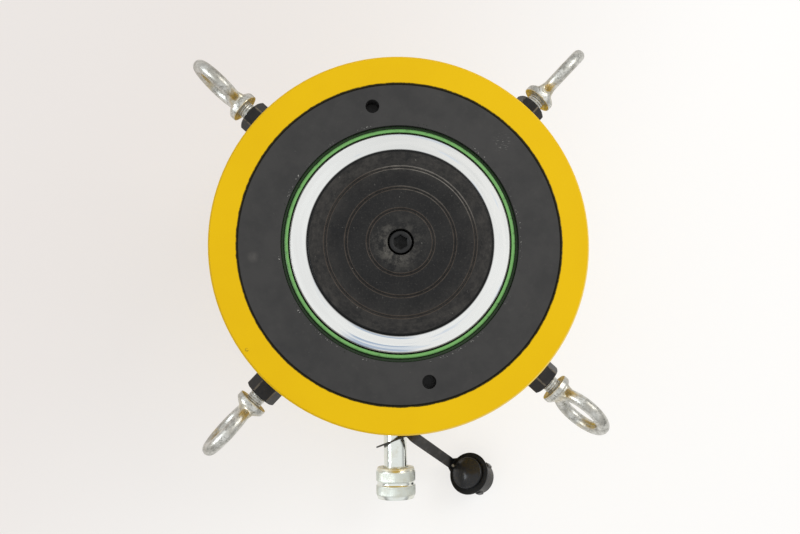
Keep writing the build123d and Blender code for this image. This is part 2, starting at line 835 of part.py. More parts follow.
# Dust cap: a hollow plug with three snap lugs, a neck for the strap and a crowned head
tilt = radians(cap_tilt_angle)
level = Vector(cos(radians(cap_azimuth_angle)), sin(radians(cap_azimuth_angle)), 0)
cap_out = level * -sin(tilt) + Vector(0, 0, 1) * cos(tilt)
cap_up_slope = level * cos(tilt) + Vector(0, 0, 1) * sin(tilt)
cap_plug_radius = cap_plug_diameter / 2
cap_lug_radius = cap_plug_radius + cap_lug_height
cap_rest = seat_gap + cap_plug_length * cos(tilt) + cap_lug_radius * sin(tilt)
cap_centre = Vector(cap_reach_across, -body_radius - cap_reach_out, cap_rest)
cap_plane = Plane(origin=cap_centre, x_dir=cap_up_slope, z_dir=cap_out)
cap_head_floor = strap_plate + 2 * seat_gap
cap_head_top = cap_head_floor + cap_head_height
cap_head_radius = cap_head_diameter / 2
crown_radius = (cap_head_radius**2 + cap_crown**2) / (2 * cap_crown)
crown_half = cap_head_top + cap_crown - crown_radius + sqrt(crown_radius**2 - cap_head_radius**2 / 4)
with BuildPart() as dust_cap:
    with BuildSketch(section_of(cap_plane)) as cap_profile:
        with BuildLine():
            Polyline(
                (0, cap_head_top + cap_crown),
                (0, -cap_wall),
                (cap_plug_radius - cap_wall, -cap_wall),
                (cap_plug_radius - cap_wall, -cap_plug_length),
                (cap_plug_radius, -cap_plug_length),
                (cap_plug_radius, 0),
                (cap_neck_diameter / 2, 0),
                (cap_neck_diameter / 2, cap_head_floor),
                (cap_head_radius, cap_head_floor),
                (cap_head_radius, cap_head_top),
            )
            ThreePointArc(
                (cap_head_radius, cap_head_top),
                (cap_head_radius / 2, crown_half),
                (0, cap_head_top + cap_crown),
            )
        make_face()
        rim = cap_profile.vertices().sort_by_distance((cap_head_radius, cap_head_top))[0]
        fillet(rim, radius=cap_edge_round)
    revolve(axis=Axis(cap_plane.origin, cap_plane.z_dir))
    with BuildSketch(cap_plane.offset(cap_lug_setback - cap_plug_length)):
        with PolarLocations(cap_lug_radius - cap_wall / 2, 3, start_angle=cap_lug_turn_angle + 60):
            Rectangle(cap_wall, cap_lug_width)
    extrude(amount=cap_lug_length)
dust_cap.part.label = "dust_cap"
export_step(dust_cap.part, "parts/dust_cap.step")

# Strap: a loop round the shank, a tab that twists into a band, and a loop round the cap
loop_along = Vector(cos(radians(strap_loop_turn_angle)), sin(radians(strap_loop_turn_angle)), 0)
loop_inward = Vector(0, 0, 1).cross(loop_along)
loop_tilt = radians(strap_loop_tilt_angle)
loop_up = Vector(0, 0, 1) * cos(loop_tilt) + loop_inward * sin(loop_tilt)
loop_hang = strap_loop_hole / 2 * cos(loop_tilt) - strap_loop_plate / 2 * sin(loop_tilt)
loop_sag = loop_hang - shank_radius - seat_gap
loop_centre = Vector(0, -body_radius - strap_loop_reach, port_height - loop_sag)
loop_plane = Plane(origin=loop_centre, x_dir=loop_along, z_dir=loop_along.cross(loop_up))
tab_top = loop_centre + loop_along * strap_tab_across + loop_up * strap_tab_height
cap_loop_plane = cap_plane.offset(seat_gap)
band_foot = cap_centre + cap_out * (seat_gap + strap_plate / 2)
band_foot = band_foot - cap_up_slope * (cap_loop_outside / 2 + cap_loop_tail / 2)
band_run = Vector(band_foot.X - tab_top.X, band_foot.Y - tab_top.Y, 0)
band_along = band_run.normalized()
band_across = Vector(0, 0, 1).cross(band_along)
# in the band's own upright plane: X runs along the ground, Y is height
band_origin = Vector(tab_top.X, tab_top.Y, 0) + band_along * strap_twist_out
band_plane = Plane(origin=band_origin, x_dir=band_along, z_dir=band_along.cross(Vector(0, 0, 1)))
twist_top = tab_top.Z + strap_twist_height
twist_origin = Vector(band_origin.X, band_origin.Y, twist_top)
twist_plane = Plane(origin=twist_origin, x_dir=band_across, z_dir=(0, 0, 1))
fold_out = strap_fold_radius + strap_band / 2
fold_in = strap_fold_radius - strap_band / 2
fold_x = strap_fold_radius
foot_across = band_run.length - strap_twist_out - fold_x
foot_drop = twist_top - band_foot.Z
foot_reach = hypot(foot_across, foot_drop)
droop = atan2(foot_drop, foot_across) + asin(strap_fold_radius / foot_reach)
band_length = sqrt(foot_reach**2 - strap_fold_radius**2) + strap_plate / 4
leave = Vector(cos(pi / 2 - droop), sin(pi / 2 - droop))
leave_middle = Vector(cos(3 * pi / 4 - droop / 2), sin(3 * pi / 4 - droop / 2))
fold_centre = Vector(fold_x, twist_top)
with BuildPart() as cap_strap:
    with BuildSketch(loop_plane):
        Circle(strap_loop_outside / 2)
        with BuildLine():
            Polyline(
                (0, strap_loop_outside / 2 - 1),
                (strap_tab_across - strap_width / 2, strap_tab_height),
                (strap_tab_across + strap_width / 2, strap_tab_height),
                (strap_tab_across + strap_width / 2, strap_tab_height - 2),
                (strap_loop_outside / 2 - 0.5, 0),
                (0, 0),
                close=True,
            )
        make_face()
        Circle(strap_loop_hole / 2, mode=Mode.SUBTRACT)
    extrude(amount=strap_loop_plate / 2, both=True)
    # the tab turns its flat side towards the cap
    with BuildSketch(Plane(origin=tab_top, x_dir=loop_along, z_dir=loop_up)):
        Rectangle(strap_width, strap_loop_plate)
    with BuildSketch(twist_plane):
        Rectangle(strap_width, strap_band)
    loft()
    # fold, straight run down, bend, and a short tail under the cap's loop
    with BuildSketch(band_plane):
        with BuildLine():
            top_out = fold_centre + leave * fold_out
            top_in = fold_centre + leave * fold_in
            down = Vector(cos(droop), -sin(droop)) * band_length
            Line((fold_x - fold_in, twist_top), (fold_x - fold_out, twist_top))
            ThreePointArc(
                (fold_x - fold_out, twist_top),
                fold_centre + leave_middle * fold_out,
                top_out,
            )
            Line(top_out, top_out + down)
            Line(top_out + down, top_in + down)
            Line(top_in + down, top_in)
            ThreePointArc(
                top_in,
                fold_centre + leave_middle * fold_in,
                (fold_x - fold_in, twist_top),
            )
        make_face()
    extrude(amount=strap_width / 2, both=True)
    with BuildSketch(cap_loop_plane):
        Circle(cap_loop_outside / 2)
        with BuildLine():
            Polyline(
                (-cap_loop_outside / 2 - cap_loop_tail, strap_width / 2),
                (-cap_loop_outside / 2 + 3, cap_loop_flare),
                (0, cap_loop_flare),
                (0, -cap_loop_flare),
                (-cap_loop_outside / 2 + 3, -cap_loop_flare),
                (-cap_loop_outside / 2 - cap_loop_tail, -strap_width / 2),
                close=True,
            )
        make_face()
        Circle(cap_loop_hole / 2, mode=Mode.SUBTRACT)
    extrude(amount=strap_plate)
cap_strap.part.label = "cap_strap"
export_step(cap_strap.part, "parts/cap_strap.step")
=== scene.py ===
# %% [markdown]
# # A hydraulic lifting cylinder, seen from above
#
# The real object is a thick steel cup, painted yellow, with a black stop ring
# screwed into its mouth and a bright plunger standing in the middle. Four
# galvanised eye bolts stick out near the top, and a knurled oil coupler with a
# tethered dust cap sticks out near the floor.
#
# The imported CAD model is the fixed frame. Its nodes keep their places, and this
# script gives them finishes and puts finer pieces where the eye looks closely.

# %% Load the frame
import json
from math import pi, radians

import bmesh
import bpy
import numpy as np
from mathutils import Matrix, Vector


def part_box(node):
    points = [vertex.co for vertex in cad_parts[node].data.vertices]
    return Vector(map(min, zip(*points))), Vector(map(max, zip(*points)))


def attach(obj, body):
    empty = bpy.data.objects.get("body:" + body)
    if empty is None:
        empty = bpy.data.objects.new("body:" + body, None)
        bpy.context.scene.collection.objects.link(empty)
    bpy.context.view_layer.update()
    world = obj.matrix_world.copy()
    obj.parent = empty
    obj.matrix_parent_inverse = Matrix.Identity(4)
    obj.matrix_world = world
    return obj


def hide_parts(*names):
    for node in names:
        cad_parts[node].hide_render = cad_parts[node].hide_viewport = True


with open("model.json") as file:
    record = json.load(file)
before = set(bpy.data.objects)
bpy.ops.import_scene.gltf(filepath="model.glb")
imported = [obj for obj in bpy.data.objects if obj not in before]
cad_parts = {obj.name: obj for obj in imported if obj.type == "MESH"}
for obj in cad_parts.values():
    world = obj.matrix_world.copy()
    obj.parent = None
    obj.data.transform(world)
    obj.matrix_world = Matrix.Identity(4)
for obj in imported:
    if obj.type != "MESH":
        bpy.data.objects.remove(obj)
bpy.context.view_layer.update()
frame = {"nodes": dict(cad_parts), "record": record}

# %% [markdown]
# ## The camera
#
# The photograph was taken from almost straight above, with the camera a little
# to the left of the middle and leaning slightly. Its place was worked out from
# the circles of the object, which are ellipses in the picture. Directions are
# kept as three unit vectors, because a nearly vertical view makes angles hard to
# read. The part is turned a little against the photograph, so that its coupler
# lies on the -Y axis, and the camera turns with it.

# %% Camera
MM = 0.001
image_width = 800
focal_pixels = 879.0
sensor_width = 36.0
photo_turn = radians(-0.8)
camera_place = np.array([-34.0, -82.6, 894.0]) * MM
camera_right = np.array([0.9988, -0.0022, 0.0488])
camera_back = np.array([-0.0488, -0.0918, 0.9946])


def turned_about_z(vector, angle):
    """The vector turned about Z: x and y mix by the angle's cosine and sine."""
    c, s = np.cos(angle), np.sin(angle)
    return np.array([c * vector[0] - s * vector[1], s * vector[0] + c * vector[1], vector[2]])


camera_data = bpy.data.cameras.new("photo_camera")
camera_data.sensor_width = sensor_width
camera_data.lens = focal_pixels * sensor_width / image_width
camera_data.clip_start = 0.01
camera = bpy.data.objects.new("photo_camera", camera_data)
bpy.context.scene.collection.objects.link(camera)
back = turned_about_z(camera_back / np.linalg.norm(camera_back), photo_turn)
right = turned_about_z(camera_right, photo_turn)
up = np.cross(back, right)
up = up / np.linalg.norm(up)
right = np.cross(up, back)
camera_matrix = np.eye(4)
camera_matrix[:3, 0], camera_matrix[:3, 1], camera_matrix[:3, 2] = right, up, back
camera_matrix[:3, 3] = turned_about_z(camera_place, photo_turn)
camera.matrix_world = camera_matrix.T.tolist()
bpy.context.scene.camera = camera
bpy.context.scene.view_settings.view_transform = "Standard"
print("lens", round(camera_data.lens, 2), "place", camera_matrix[:3, 3].round(4))

# %% [markdown]
# ## Sizes read from the frame
#
# Each new piece has to sit exactly where its CAD node sits. The sizes below are
# either read from the node's box or are the same real sizes that the CAD model
# was built from, so nothing floats and nothing cuts into its neighbour.

# %% Sizes
body_low, body_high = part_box("cylinder_body")
body_radius = body_high.x
body_top = body_high.z
plunger_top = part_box("plunger")[1].z
saddle_low, saddle_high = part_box("saddle")
saddle_radius = saddle_high.x
port_height = 0.5 * (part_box("coupler_collar")[0].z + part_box("coupler_collar")[1].z)
bolt_turn, bolt_spread = 1.6, 44.5
bolt_height = body_top - 0.033
print("body radius", round(body_radius, 4), "top", round(body_top, 4), "port", round(port_height, 4))

# %% [markdown]
# ## Surfaces from grids of points
#
# A surface of revolution, a ring or a band is a grid: rows run along the
# profile and columns run round the axis. numpy works out all the points at once,
# and the faces are the same pattern of four corners for every grid, so one
# helper serves every piece. Another helper turns the faces outwards by looking
# at the sign of the volume that they enclose.

# %% Grid helpers


def grid_faces(rows, cols, wrap_rows, wrap_cols):
    """Four-cornered faces of a rows x cols grid, joined end to end where it wraps."""
    r = np.arange(rows if wrap_rows else rows - 1)
    c = np.arange(cols if wrap_cols else cols - 1)
    r, c = np.meshgrid(r, c, indexing="ij")
    r2, c2 = (r + 1) % rows, (c + 1) % cols
    corners = [r * cols + c, r * cols + c2, r2 * cols + c2, r2 * cols + c]
    return np.stack(corners, axis=-1).reshape(-1, 4)


def enclosed_volume(points, faces):
    """Sum over the faces of corner . (corner x corner) / 6: positive when faces point outwards."""
    a, b, c, d = (points[faces[:, k]] for k in range(4))
    one = np.einsum("ij,ij->i", a, np.cross(b, c))
    two = np.einsum("ij,ij->i", a, np.cross(c, d))
    return (one.sum() + two.sum()) / 6


def mesh_of(name, points, faces):
    """A mesh from grid points and faces, facing outwards, with its poles and seams merged."""
    if enclosed_volume(points, faces) < 0:
        faces = faces[:, ::-1]
    mesh = bpy.data.meshes.new(name)
    mesh.from_pydata(points.tolist(), [], faces.tolist())
    edit = bmesh.new()
    edit.from_mesh(mesh)
    bmesh.ops.remove_doubles(edit, verts=edit.verts, dist=1e-7)
    edit.to_mesh(mesh)
    edit.free()
    return mesh


def add_piece(name, mesh, body, stands_for=(), smooth=True):
    """Put a mesh into the scene, let it ride on its body and hide the CAD nodes that it stands for."""
    piece = bpy.data.objects.new(name, mesh)
    bpy.context.scene.collection.objects.link(piece)
    mesh.polygons.foreach_set("use_smooth", np.full(len(mesh.polygons), smooth))
    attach(piece, body)
    if stands_for:
        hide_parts(*stands_for)
    return piece


# %% [markdown]
# ## Profiles with rounded corners
#
# No machined edge is perfectly sharp: each has a tiny round that catches a line
# of light. A profile is therefore a list of corners with a rounding radius for
# each, and every corner becomes a short arc. The arc is a quadratic curve from a
# point before the corner to a point after it, which at this size can't be told
# from a circle.

# %% Rounded profiles


def rounded(corners, radius, steps=4, closed=True):
    """Profile whose corners are cut back by the radius and joined by quadratic arcs.

    A point on an arc is (1-t)^2 start + 2t(1-t) corner + t^2 end.
    """
    corners = np.asarray(corners, float)
    radius = np.broadcast_to(np.asarray(radius, float), len(corners))
    before = np.roll(corners, 1, axis=0) - corners
    after = np.roll(corners, -1, axis=0) - corners
    reach_before = np.linalg.norm(before, axis=1)
    reach_after = np.linalg.norm(after, axis=1)
    cut = np.minimum(radius, 0.45 * np.minimum(reach_before, reach_after))[:, None]
    if not closed:
        cut[0] = cut[-1] = 0
    start = corners + before / reach_before[:, None] * cut
    end = corners + after / reach_after[:, None] * cut
    t = np.linspace(0, 1, steps + 1)[None, :, None]
    arcs = (1 - t) ** 2 * start[:, None] + 2 * t * (1 - t) * corners[:, None] + t**2 * end[:, None]
    if closed:
        return arcs.reshape(-1, 2)
    return np.concatenate([corners[:1], arcs[1:-1].reshape(-1, 2), corners[-1:]])


def turned_points(profile, origin, axis, aside, columns):
    """Grid of a turned piece: origin + r cos(a) aside + r sin(a) across + h axis."""
    axis, aside = np.asarray(axis, float), np.asarray(aside, float)
    across = np.cross(axis, aside)
    angle = np.linspace(0, 2 * pi, columns, endpoint=False)
    ring = np.cos(angle)[:, None] * aside + np.sin(angle)[:, None] * across
    return np.asarray(origin) + profile[:, None, :1] * ring[None] + profile[:, None, 1:] * axis


def turned_mesh(name, profile, origin=(0, 0, 0), axis=(0, 0, 1), aside=(1, 0, 0), columns=256, closed=True):
    """Mesh of a turned piece. A closed profile makes a ring, an open one starts and ends on the axis."""
    points = turned_points(profile, origin, axis, aside, columns)
    faces = grid_faces(len(profile), columns, closed, True)
    return mesh_of(name, points.reshape(-1, 3), faces)


print("a square with rounded corners has", len(rounded([(0, 0), (1, 0), (1, 1), (0, 1)], 0.1)), "points")

# %% [markdown]
# ## Finishes
#
# A finish is more than a colour. Each one below starts from the Principled
# shader, gets a little variation of colour and roughness from noise, and a bump
# at the scale of the real texture. All patterns read Object coordinates, in
# metres, so they stay on the part when it moves.

# %% Finish helpers


class Finish:
    """A material being built: its node tree, its shader and a few shorthand methods."""

    def __init__(self, name, colour, roughness, metallic=0.0, specular=0.5, coat=0.0):
        self.material = bpy.data.materials.new(name)
        self.material.use_nodes = True
        self.nodes = self.material.node_tree.nodes
        self.links = self.material.node_tree.links
        self.shader = self.nodes["Principled BSDF"]
        self.set(self.shader, "Base Color", (*colour, 1.0))
        self.set(self.shader, "Roughness", roughness)
        self.set(self.shader, "Metallic", metallic)
        self.set(self.shader, "Specular IOR Level", specular)
        self.set(self.shader, "Coat Weight", coat)
        self.place = self.nodes.new("ShaderNodeTexCoord").outputs["Object"]

    def set(self, node, socket, value):
        node.inputs[socket].default_value = value

    def math(self, operation, a, b=0.0, c=0.0):
        node = self.nodes.new("ShaderNodeMath")
        node.operation = operation
        for socket, value in zip(node.inputs, (a, b, c)):
            if isinstance(value, (int, float)):
                socket.default_value = value
            else:
                self.links.new(value, socket)
        return node.outputs[0]

    def noise(self, scale, detail=3.0, roughness=0.55, place=None, distortion=0.0):
        node = self.nodes.new("ShaderNodeTexNoise")
        self.set(node, "Scale", scale)
        self.set(node, "Detail", detail)
        self.set(node, "Roughness", roughness)
        self.set(node, "Distortion", distortion)
        self.links.new(self.place if place is None else place, node.inputs["Vector"])
        return node.outputs["Fac"]

    def stretched(self, scale, origin=(0, 0, 0)):
        """Object coordinates, moved to an origin and then stretched along the three axes."""
        move = self.nodes.new("ShaderNodeVectorMath")
        move.operation = "SUBTRACT"
        move.inputs[1].default_value = origin
        self.links.new(self.place, move.inputs[0])
        grow = self.nodes.new("ShaderNodeVectorMath")
        grow.operation = "MULTIPLY"
        grow.inputs[1].default_value = scale
        self.links.new(move.outputs[0], grow.inputs[0])
        return grow.outputs[0]

    def step(self, value, low, high, to_low=0.0, to_high=1.0):
        """Smooth step: to_low below low, to_high above high."""
        node = self.nodes.new("ShaderNodeMapRange")
        node.interpolation_type = "SMOOTHSTEP"
        for socket, number in zip(("From Min", "From Max", "To Min", "To Max"), (low, high, to_low, to_high)):
            self.set(node, socket, number)
        self.links.new(value, node.inputs["Value"])
        return node.outputs["Result"]

    def mixed(self, factor, a, b):
        """Colour a where the factor is 0 and colour b where it is 1."""
        node = self.nodes.new("ShaderNodeMix")
        node.data_type = "RGBA"
        for socket, value in ((node.inputs[0], factor), (node.inputs[6], a), (node.inputs[7], b)):
            if isinstance(value, tuple):
                socket.default_value = (*value, 1.0)
            elif isinstance(value, (int, float)):
                socket.default_value = value
            else:
                self.links.new(value, socket)
        return node.outputs[2]

    def colour(self, value):
        self.links.new(value, self.shader.inputs["Base Color"])

    def roughness(self, value):
        self.links.new(value, self.shader.inputs["Roughness"])

    def bump(self, height, distance, strength=1.0):
        node = self.nodes.new("ShaderNodeBump")
        self.set(node, "Strength", strength)
        self.set(node, "Distance", distance)
        self.links.new(height, node.inputs["Height"])
        old = self.shader.inputs["Normal"].links
        if old:
            self.links.new(old[0].from_socket, node.inputs["Normal"])
        self.links.new(node.outputs["Normal"], self.shader.inputs["Normal"])

    def radius(self, origin=(0, 0, 0), flatten=(1, 1, 0)):
        """Distance from an axis through the origin: the length of the coordinates with one axis flattened."""
        length = self.nodes.new("ShaderNodeVectorMath")
        length.operation = "LENGTH"
        self.links.new(self.stretched(flatten, origin), length.inputs[0])
        return length.outputs["Value"]

    def arcs(self, across, along, detail=4.0, roughness=0.6):
        """Noise drawn out round the Z axis: it reads the radius finely and the direction coarsely."""
        direction = self.nodes.new("ShaderNodeVectorMath")
        direction.operation = "NORMALIZE"
        self.links.new(self.stretched((1, 1, 0)), direction.inputs[0])
        split = self.nodes.new("ShaderNodeSeparateXYZ")
        self.links.new(direction.outputs[0], split.inputs[0])
        join = self.nodes.new("ShaderNodeCombineXYZ")
        for socket, value in zip(join.inputs, (split.outputs[0], split.outputs[1])):
            self.links.new(self.math("MULTIPLY", value, along), socket)
        self.links.new(self.math("MULTIPLY", self.radius(), across), join.inputs[2])
        return self.noise(1.0, detail, roughness, place=join.outputs[0])

    def blend(self, *terms):
        """Sum of sockets, each given with the number that multiplies it."""
        total = 0.0
        for socket, factor in terms:
            total = self.math("MULTIPLY_ADD", socket, float(factor), total)
        return total

    def bolt_place(self):
        """Distances along, beside and above the axis of the nearest eye bolt.

        The four bolts mirror each other about two upright planes. So the plan is turned by
        the planes' angle, folded with absolute values, and turned again to one bolt's angle.
        """
        x, y = self.axis("X"), self.axis("Y")
        c, s = np.cos(radians(bolt_turn)), np.sin(radians(bolt_turn))
        ahead = self.math("ABSOLUTE", self.blend((x, c), (y, s)))
        beside = self.math("ABSOLUTE", self.blend((x, -s), (y, c)))
        c, s = np.cos(radians(bolt_spread)), np.sin(radians(bolt_spread))
        above = self.math("SUBTRACT", self.axis("Z"), bolt_height)
        return self.blend((ahead, c), (beside, s)), self.blend((ahead, -s), (beside, c)), above

    def spot(self, x, y, reach, fade=0.4):
        """1 within a reach of an upright line at x, y, fading to 0 just outside it."""
        return self.step(self.radius((x, y, 0)), reach * (1 - fade), reach, 1.0, 0.0)

    def distance(self, a, b):
        """Square root of a squared plus b squared."""
        return self.math("SQRT", self.math("MULTIPLY_ADD", a, a, self.math("MULTIPLY", b, b)))

    def axis(self, letter):
        split = self.nodes.new("ShaderNodeSeparateXYZ")
        self.links.new(self.place, split.inputs[0])
        return split.outputs[letter]


# %% [markdown]
# ## Yellow paint
#
# The body is sprayed with a thick, even, slightly soft-looking yellow. A fine
# orange-peel bump keeps its highlights from being mirror-sharp, and a very faint
# large mottling stops the face from looking like flat print.

# %% Yellow paint


def yellow_paint():
    paint = Finish("yellow paint", (0.785, 0.488, 0.0015), 0.42, specular=0.10)
    radius = paint.radius()
    mottle = paint.step(paint.noise(14, 4), 0.3, 0.75)
    tone = paint.mixed(mottle, (0.800, 0.502, 0.0015), (0.768, 0.470, 0.0015))
    # Painted shade: a ragged dark ring on the yellow next to the stop ring's joint, standing in for the shadow in the
    # gap.
    ragged = paint.math("ADD", radius, paint.math("MULTIPLY", paint.noise(190, 4, 0.7), -0.0016))
    grime_and_shade = paint.math("MULTIPLY", paint.step(ragged, 0.1273, 0.1279, 1.0, 0.0), paint.step(radius, 0.1268, 0.1270))
    tone = paint.mixed(grime_and_shade, tone, (0.045, 0.036, 0.012))
    rub = paint.step(paint.noise(42, 6, 0.75, distortion=0.8), 0.735, 0.775)
    low = paint.step(paint.axis("Z"), 0.02, 0.19, 1.0, 0.15)
    tone = paint.mixed(paint.math("MULTIPLY", rub, paint.math("MULTIPLY", low, 0.5)), tone, (0.30, 0.19, 0.02))
    nick = paint.math("MULTIPLY", paint.spot(-0.1199, -0.0822, 0.0019), paint.step(paint.noise(900, 3), 0.46, 0.52))
    tone = paint.mixed(paint.math("MULTIPLY", nick, 0.5), tone, (0.16, 0.12, 0.02))
    # Painted highlight: a light yellow line on the top outer edge round, only on the side towards +X and -Y.
    edge = paint.math("MULTIPLY", paint.step(radius, 0.1486, 0.1491), paint.step(paint.axis("Z"), 0.2080, 0.2088))
    lit_side = paint.step(paint.blend((paint.axis("X"), 0.8), (paint.axis("Y"), -0.6)), 0.06, 0.14)
    tone = paint.mixed(paint.math("MULTIPLY", edge, paint.math("MULTIPLY", lit_side, 0.45)), tone, (0.98, 0.80, 0.30))
    paint.colour(tone)
    paint.roughness(paint.step(paint.noise(60, 3), 0.3, 0.7, 0.36, 0.5))
    paint.bump(paint.noise(520, 2), 0.00008)
    paint.bump(paint.noise(30, 2), 0.0006, 0.18)
    return paint.material


# %% [markdown]
# ## Black oxide on turned steel
#
# The stop ring and the saddle are turned on a lathe and then blackened. The tool
# leaves very fine circles, so the bump is a noise that is read from the distance
# to the axis alone. Handling leaves grey specks where the black has worn off.

# %% Black oxide


def black_oxide():
    steel = Finish("black oxide", (0.033, 0.032, 0.031), 0.48, specular=0.3)
    radius = steel.radius()
    cloud = steel.step(steel.noise(26, 6, 0.68), 0.36, 0.66)
    tone = steel.mixed(cloud, (0.0385, 0.037, 0.0355), (0.0275, 0.0268, 0.0262))
    rubbed = steel.step(steel.arcs(180, 16, 7, 0.75), 0.56, 0.72)
    tone = steel.mixed(steel.math("MULTIPLY", rubbed, 0.30), tone, (0.070, 0.064, 0.058))
    speck = steel.step(steel.noise(420, 3, 0.6), 0.735, 0.765)
    from_mouth = steel.math("ABSOLUTE", steel.math("SUBTRACT", radius, 0.0955))
    near_mouth = steel.step(from_mouth, 0.0006, 0.0022, 0.95, 0.30)
    tone = steel.mixed(steel.math("MULTIPLY", speck, near_mouth), tone, (0.26, 0.245, 0.22))
    chips = steel.math("MULTIPLY", steel.step(steel.noise(240, 6, 0.8), 0.60, 0.66), steel.step(from_mouth, 0.0008, 0.0016, 1.0, 0.0))
    tone = steel.mixed(chips, tone, (0.008, 0.010, 0.007))
    scratch_place = steel.stretched((260, 1100, 0), (0.0823, 0.0805, 0))
    scratch = steel.step(steel.noise(1.0, 4, 0.6, place=scratch_place, distortion=0.3), 0.56, 0.63)
    scratch = steel.math("MULTIPLY", scratch, steel.spot(0.0823, 0.0790, 0.010, 0.7))
    tone = steel.mixed(steel.math("MULTIPLY", scratch, 0.6), tone, (0.20, 0.19, 0.175))
    nicks = steel.step(steel.noise(700, 4, 0.6), 0.60, 0.64)
    nicks = steel.math("MULTIPLY", nicks, steel.step(steel.noise(45, 3), 0.50, 0.58))
    nicks = steel.math("MULTIPLY", nicks, steel.step(from_mouth, 0.0004, 0.0012, 1.0, 0.0))
    tone = steel.mixed(steel.math("MULTIPLY", nicks, 0.9), tone, (0.48, 0.47, 0.43))
    smudge = steel.math("MULTIPLY", steel.spot(-0.115, -0.0103, 0.006, 0.9), steel.noise(300, 4))
    tone = steel.mixed(steel.math("MULTIPLY", smudge, 0.6), tone, (0.13, 0.12, 0.11))
    gap = steel.step(radius, 0.1262, 0.1269)
    steel.colour(steel.mixed(gap, tone, (0.006, 0.006, 0.005)))
    circles = steel.nodes.new("ShaderNodeTexNoise")
    circles.noise_dimensions = "1D"
    steel.set(circles, "Scale", 1900.0)
    steel.links.new(radius, circles.inputs["W"])
    steel.bump(circles.outputs["Fac"], 0.00003, 0.35)
    steel.bump(steel.noise(420, 5, 0.7), 0.00006, 0.4)
    return steel.material


def worn_saddle():
    """Black oxide, greyer towards the rim, with brown stain in its grooves, a painted highlight on the groove banks
    towards +Y, wear round the screw and a painted shade line at the rim.
    """
    steel = Finish("worn saddle", (0.022, 0.022, 0.022), 0.5, specular=0.2)
    radius = steel.radius()
    cloud = steel.step(steel.noise(24, 6, 0.66), 0.36, 0.66)
    tone = steel.mixed(cloud, (0.0120, 0.0119, 0.0119), (0.0060, 0.0061, 0.0066))
    worn = steel.blend((steel.arcs(420, 14, 7, 0.7), 0.5), (steel.noise(60, 6, 0.7), 0.5))
    rim = steel.math("MULTIPLY", steel.step(radius, 0.046, 0.068, 0.15, 1.0), steel.step(worn, 0.34, 0.66))
    tone = steel.mixed(steel.math("MULTIPLY", rim, 0.72), tone, (0.056, 0.051, 0.045))
    for groove in saddle_grooves:
        distance = steel.math("ABSOLUTE", steel.math("SUBTRACT", radius, groove))
        bank = steel.math("ABSOLUTE", steel.math("SUBTRACT", distance, 0.0011))
        ragged = steel.math("ADD", bank, steel.math("MULTIPLY", steel.noise(150, 5, 0.7), 0.0011))
        stain = steel.step(ragged, 0.0005, 0.0013, 0.85, 0.0)
        # Painted highlight: the groove banks are painted a lighter grey towards +X and +Y.
        lit = steel.math("MULTIPLY", steel.step(steel.blend((steel.axis("X"), 0.45), (steel.axis("Y"), 0.9)), 0.030, 0.058), 0.7)
        tone = steel.mixed(stain, tone, steel.mixed(lit, (0.078, 0.062, 0.050), (0.30, 0.28, 0.25)))
    near = steel.step(radius, 0.011, 0.027, 1.0, 0.0)
    lower_left = steel.step(steel.blend((steel.axis("X"), -0.8), (steel.axis("Y"), -0.6)), -0.012, 0.016, 0.35, 1.0)
    patch = steel.math("MULTIPLY", near, steel.step(steel.noise(120, 7, 0.78), 0.44, 0.62))
    patch = steel.math("MULTIPLY", patch, lower_left)
    tone = steel.mixed(steel.math("MULTIPLY", patch, 0.8), tone, (0.115, 0.108, 0.094))
    dust = steel.step(steel.noise(650, 5, 0.8), 0.56, 0.68)
    tone = steel.mixed(steel.math("MULTIPLY", dust, steel.step(radius, 0.020, 0.070, 0.35, 0.22)), tone, (0.16, 0.15, 0.13))
    speck = steel.step(steel.noise(380, 3, 0.6), 0.715, 0.75)
    tone = steel.mixed(steel.math("MULTIPLY", speck, 0.8), tone, (0.21, 0.20, 0.18))
    # Painted shade: a near-black line on the saddle's rim round, standing in for the shadow of the gap over the
    # plunger.
    edge = steel.step(radius, 0.0711, 0.0717)
    steel.colour(steel.mixed(edge, tone, (0.004, 0.004, 0.004)))
    steel.roughness(steel.step(steel.noise(80, 4), 0.3, 0.7, 0.42, 0.6))
    steel.bump(steel.noise(400, 5, 0.7), 0.00012, 0.5)
    steel.bump(steel.arcs(2200, 6, 3), 0.00003, 0.4)
    return steel.material


# %% [markdown]
# ## Bright plunger
#
# The rod is hard chromed and its end is faced on a lathe, so it mirrors the
# bright surroundings with a faint circular grain and a few rubbed patches. Blue
# arcs and a streak are painted reflections, and the face is painted darker at
# the back, round the saddle and at its outer edge as painted shade.

# %% Bright steel


